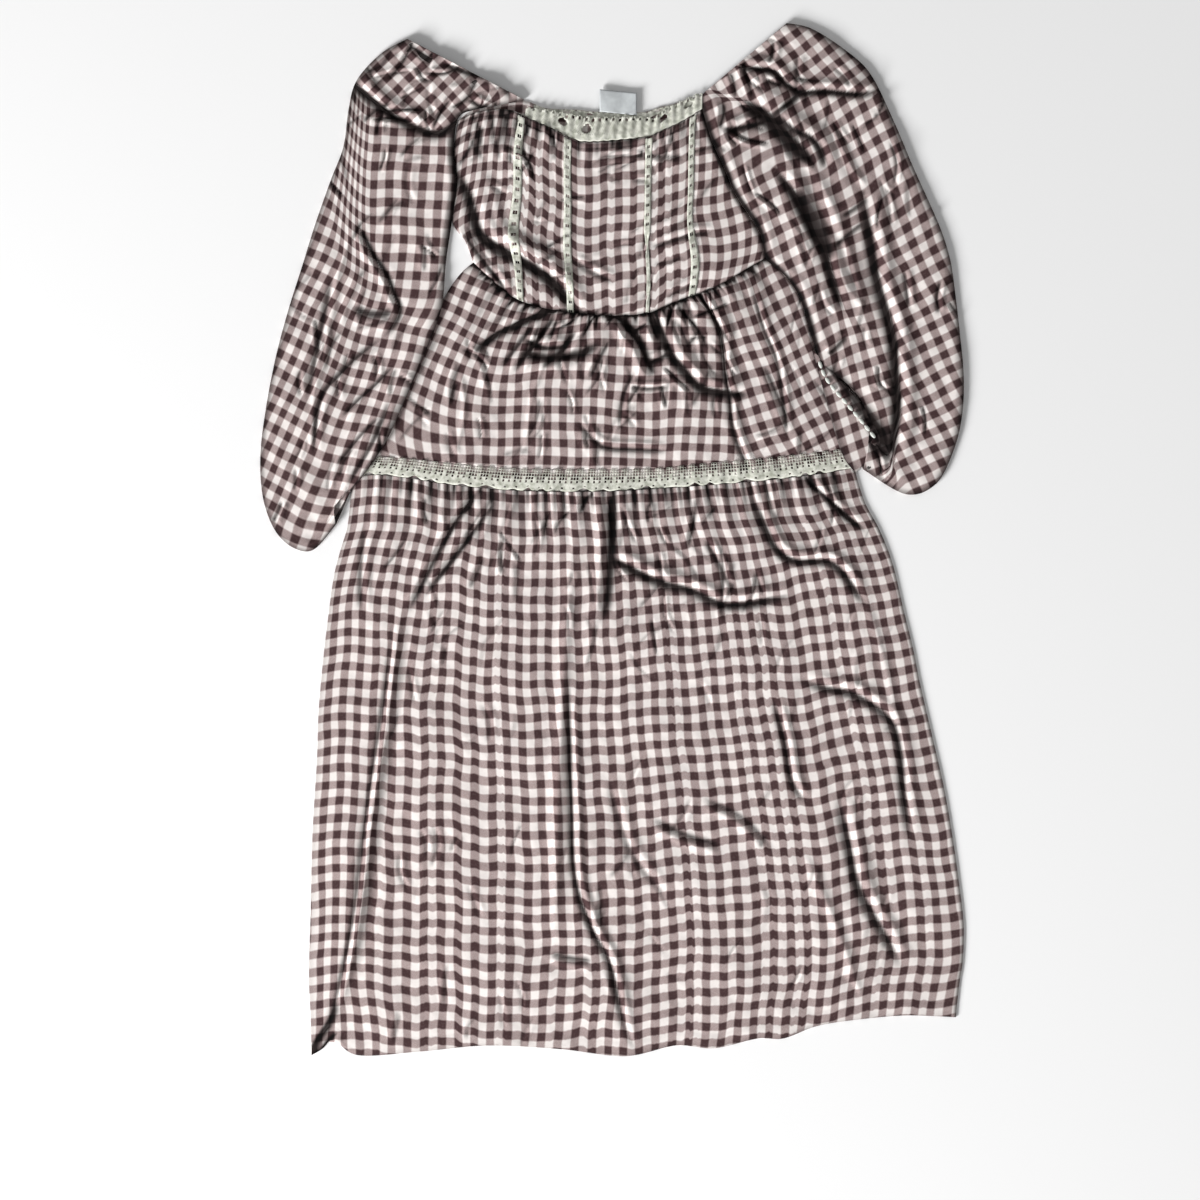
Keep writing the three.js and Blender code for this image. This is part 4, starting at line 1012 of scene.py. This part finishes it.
RIGHT_CREASES = [
    (8, 5.0, 0, 0, [(94, 520), (101, 488), (112, 452), (126, 421), (139, 391), (165, 352), (172, 322),
        (190, 302),
                    (207, 283), (217, 262), (225, 240), (232, 212), (238, 186)]),
    (13, 6.5, 1, 5, [(150, 495), (174, 481), (190, 465), (205, 450), (217, 438), (228, 428)]),
    (7, 4.4, 1, 0, [(184, 484), (205, 465), (225, 455), (237, 440), (241, 420)]),
    (6, 4.2, 1, 0, [(127, 463), (150, 468), (174, 473)]),
    (6, 4.8, 1, 3, [(138, 537), (148, 535), (180, 531), (194, 519), (212, 507), (240, 508), (280, 505),
        (306, 510)]),
    (6, 4.2, 1, 0, [(180, 480), (200, 495), (216, 511)]),
    (8, 5.5, 1, 5, [(184, 420), (200, 400), (210, 385), (220, 365), (230, 345), (240, 330), (246, 308),
        (252, 288), (262, 258)]),
    (14, 4.6, 0, 0, [(208, 400), (226, 368), (238, 344), (248, 316)]),
    (10, 5.0, 1, 5, [(283, 395), (292, 345), (300, 295), (312, 255), (319, 225), (322, 185), (324, 150),
        (320, 115), (316, 84)]),
    (5, -2.6, 0, 0, [(246, 474), (262, 440), (275, 415), (290, 400)]),
    (5, 2.8, 1, 0, [(250, 331), (268, 347), (286, 361)]),
    (5, 2.8, 1, 0, [(260, 366), (276, 377), (290, 388)]),
    (5, 3.2, 1, 0, [(245, 210), (255, 220), (266, 232)]),
    (9, -2.4, 0, 0, [(222, 430), (252, 370), (276, 300), (286, 240)]),
    (20, 6.5, 0, 0, [(239, 197), (249, 181), (262, 165), (276, 149), (291, 131), (304, 112), (309, 90)]),
]
LEFT_CRINKLES = [
    {"count": 70, "x": (-380, -190), "y": (20, 540), "seed": 86, "turn": 75, "deep": 2.0},
    {"count": 16, "x": (-280, -130), "y": (470, 550), "seed": 88, "turn": 40, "deep": 2.6},
]
RIGHT_CRINKLES = [
    {"count": 70, "x": (130, 390), "y": (70, 560), "seed": 87, "turn": 100, "deep": 2.0},
    {"count": 14, "x": (120, 230), "y": (440, 540), "seed": 89, "turn": 130, "deep": 2.6},
]

# The mouth of the right cuff: a turned hem of the same cloth beside the upper tier, and the white overlock
# stitches along the cut edge of that hem.
HEM_OUTER = [(226, 216), (233, 192), (240, 166), (247, 140), (255, 112), (264, 90), (276, 76)]
HEM_INNER = [(237, 205), (248, 193), (260, 180), (274, 165), (291, 145), (306, 120), (303, 106)]
HEM_HIGH = 5.2
HEM_GRID = {"along": 60, "across": 12}
OVERLOCK = [(234, 203), (240, 187), (250, 172), (263, 157), (280, 137), (298, 115)]
STITCH = {"count": 11, "long": 4.4, "wide": 2.1, "high": 1.3, "above": 1.2}
OVERLOCK_COLOUR = (0.70, 0.72, 0.68, 1)
OVERLOCK_SHADE = (0.5, 0.52, 0.48, 1)

LEFT_ZONES = [
    (None, 0, None, (-24, 15.6), (62, 19.6)),
    ([(-250, 310), (-290, 260), (-306, 190), (-318, 100), (-350, 10)], 34, (-306, 160), (-18, 16.2),
        (78, 19.8)),
    ([(-292, 540), (-296, 420), (-290, 340), (-268, 290), (-235, 262), (-150, 250)], 26, (-244, 280),
        (-3, 18.6), (88, 20.0)),
    ([(-306, 526), (-292, 516), (-257, 487), (-228, 470), (-199, 461), (-176, 472),
        (-150, 488)], 3, (-228, 470), (43, 18.6), (132, 16.4)),
]
RIGHT_ZONES = [
    (None, 0, None, (18, 18.4), (117, 19.6)),
    ([(184, 420), (200, 400), (220, 365), (240, 330), (252, 288), (262, 258)], 4, (224, 356),
        (12, 18.4), (104, 19.8)),
    ([(283, 395), (292, 345), (300, 295), (312, 255), (319, 225), (322, 185), (324, 150), (320, 115),
        (316, 84)], 4, (286, 375), (26, 19.0), (116, 17.6)),
    ([(118, 505), (150, 495), (174, 481), (190, 465), (205, 450), (217, 438),
        (228, 428)], 5, (217, 438), (23, 18.6), (121, 19.2)),
    ([(120, 541), (148, 535), (180, 531), (194, 519), (212, 507), (240, 508), (280, 505),
        (340, 500)], 3, (212, 507), (38, 17.6), (124, 18.2)),
]


def under_sleeve(x, y):
    """Height of a sleeve's underside: the floor, or the side of the body that the left sleeve lies on."""
    outside = np.interp(y, BODY_SIDES["y"], BODY_SIDES["left"]) - x
    over = FRONT_BASE + SLEEVE_ROOM + LOFT * smoothstep(0, SIDE_SOFTNESS, -outside)
    rise = over * (1 - smoothstep(SLEEVE_OVER["from"], SLEEVE_OVER["to"], outside))
    return np.where((x > 0) | (y > SLEEVE_OVER["below"]), 0, rise)


def sleeve(name, shape, creases, zones, seed):
    """A flattened tube between the ends of its rings, its mouths turned in."""
    last = len(shape["left"]) - 1
    outer = np.linspace(0, last, SLEEVE_GRID["along"] + 1)
    rings = np.concatenate([[0.6, 0.3, 0.04], outer, last - np.array([0.05, 0.4, 0.8])])
    inside = np.concatenate([np.ones(3), np.zeros(len(outer)), np.ones(3)])[:, None]
    over = np.linspace(0, math.pi, SLEEVE_GRID["top"] + 1)[:-1]
    under = np.linspace(math.pi, 2 * math.pi, SLEEVE_GRID["under"] + 1)
    angle = np.concatenate([over, under])[None]
    on_top = angle <= math.pi
    share = (1 - np.cos(angle)) / 2
    left, right = curve(shape["left"], rings), curve(shape["right"], rings)
    wide = np.hypot(*(right - left).T)[:, None]
    inset = inside * 1.2 / wide
    share = inset + (1 - 2 * inset) * share
    x = left[:, :1] + (right - left)[:, :1] * share
    y = left[:, 1:] + (right - left)[:, 1:] * share
    back = np.interp(rings, range(last - 4, last + 1), CUFF_BACK)[:, None]
    drawn = np.where(on_top, back * np.sin(math.pi * share), 0)
    x, y = x + shape["lip"][0] * drawn, y + shape["lip"][1] * drawn
    low = under_sleeve(x, y)
    crease, shift, fold = creased(creases, x, y)
    row = rings[:, None] / last
    neck = gathered(SLEEVE_NECK_GATHERS, share, row)
    cuff = gathered(SLEEVE_CUFF_GATHERS, share, 1 - row)
    loft = np.clip(SLEEVE_LOFT + crease + rippled(x, y, seed) + neck + cuff, SLEEVE_LEAST, SLEEVE_MOST)
    high = low + loft - inside * INSIDE_DROP
    low = low + inside * INSIDE_DROP
    middle = low + SLEEVE_EDGE - inside * INSIDE_DROP / 2
    rounding = np.minimum(1, 1.5 * np.sqrt(np.abs(np.sin(angle))))
    z = np.where(on_top, middle + (high - middle) * rounding, middle - (middle - low) * rounding)
    # Painted shade: creases and the sides on the top, and the turned-in rings inside the mouths all round;
    # the rest of the underside gets none.
    from_side = np.minimum(share, 1 - share) * wide
    painted_rim_shade = painted_edge_shade(from_side, PAINTED_EDGE_SHADE["most"], PAINTED_EDGE_SHADE["reach"])
    fold = np.where(on_top, 1 - (1 - fold) * (1 - painted_rim_shade), 0)
    fold = np.maximum(fold, PAINTED_INSIDE_SHADE * inside)
    pattern = zoned(x, y, zones)
    cloth = (pattern[0] + shift[0] + rippled(x, y, seed + 1), pattern[1] + shift[1] + rippled(x, y, seed + 2))
    return fitted(lay_cloth(name, x, y, z, cloth, gingham, fold=fold), name)


sleeve_left = sleeve("sleeve_left", SLEEVE_LEFT, LEFT_CREASES + crinkled(LEFT_CRINKLES), LEFT_ZONES, 51)
sleeve_right = sleeve("sleeve_right", SLEEVE_RIGHT, RIGHT_CREASES + crinkled(RIGHT_CRINKLES), RIGHT_ZONES, 61)

share = np.linspace(0, 1, HEM_GRID["along"] + 1)
step = np.linspace(0, 1, HEM_GRID["across"] + 1)[:, None, None]
place = edge(HEM_OUTER, share)[None] * (1 - step) + edge(HEM_INNER, share)[None] * step
x, y = place[..., 0], place[..., 1]
z = HEM_HIGH - 1.2 * step[..., 0] ** 2 + 0 * x
pattern = zoned(x, y, RIGHT_ZONES)
# Painted shade at the hem's outer edge, and past the stitches where the hem runs into the sleeve's mouth.
fold = painted_edge_shade(step[..., 0], 0.9, 0.1) + PAINTED_INSIDE_SHADE * smoothstep(0.66, 0.8, step[..., 0]) + 0 * x
cuff_hem = lay_cloth("cuff_hem", x[::-1], y[::-1], z[::-1], pattern[:, ::-1], gingham, RIM_LOW, fold[::-1])
fitted(cuff_hem)

upper = BVHTree.FromObject(sleeve_right, bpy.context.evaluated_depsgraph_get())
line = edge(OVERLOCK, np.linspace(0, 1, 2 * STITCH["count"] + 1)) * MM
bm = bmesh.new()
bm.loops.layers.uv.new("cloth")
for which in range(STITCH["count"]):
    start, centre, end = line[2 * which], line[2 * which + 1], line[2 * which + 2]
    spots = [upper.ray_cast((x, y, 1), (0, 0, -1))[0] for x, y in (start, centre, end)]
    level = max([HEM_HIGH * MM, *(spot.z for spot in spots if spot)]) + STITCH["above"] * MM
    turn = Matrix.Rotation(math.atan2(end[1] - start[1], end[0] - start[0]), 4, "Z")
    size = Matrix.Diagonal((STITCH["long"] * MM, STITCH["wide"] * MM, STITCH["high"] * MM, 1))
    here = Matrix.Translation((centre[0], centre[1], level)) @ turn @ size
    bmesh.ops.create_uvsphere(bm, u_segments=16, v_segments=8, radius=1, matrix=here, calc_uvs=True)
for face in bm.faces:
    face.smooth = True
overlock_thread = threaded_material("overlock", OVERLOCK_COLOUR, OVERLOCK_SHADE, 0.8, 9, 40)
overlock = fitted(shown("overlock_stitches", bm, overlock_thread))

# The neck label: a blank loop of white satin ribbon, folded and sewn inside the back neckline.
LABEL = {"x": 7, "y": 491, "wide": 42, "long": 25, "low": 2.7, "high": 4.8, "lean": -0.1}
RIBBON_COLOUR = (0.62, 0.65, 0.66, 1)
RIBBON_SHADE = (0.45, 0.47, 0.48, 1)
RIBBON_THICK = 0.3
share = np.linspace(0, 1, 25)
turn = np.linspace(0, 1, 41)
loop_y = np.where(turn < 0.45, turn / 0.45, np.where(turn > 0.55, (1 - turn) / 0.45, 1))
loop_z = smoothstep(0.42, 0.58, turn)
x = LABEL["x"] + (share[None] - 0.5) * LABEL["wide"] + 0 * turn[:, None]
y = LABEL["y"] - LABEL["long"] / 3 + LABEL["long"] * loop_y[:, None] + 0 * x
y = y + LABEL["lean"] * (x - LABEL["x"])
z = LABEL["low"] + 0.2 + (LABEL["high"] - LABEL["low"] - 0.4) * loop_z[:, None] + 0 * x
z = z + 0.4 * np.sin(share[None] * 7) * loop_z[:, None]
ribbon = threaded_material("ribbon", RIBBON_COLOUR, RIBBON_SHADE, 0.45, 60, 2600)
neck_label = lay_cloth("neck_label", x[::-1], y[::-1], z[::-1], (x, y), ribbon)
fitted(thickened(neck_label, "ribbon", RIBBON_THICK), "neck_label")
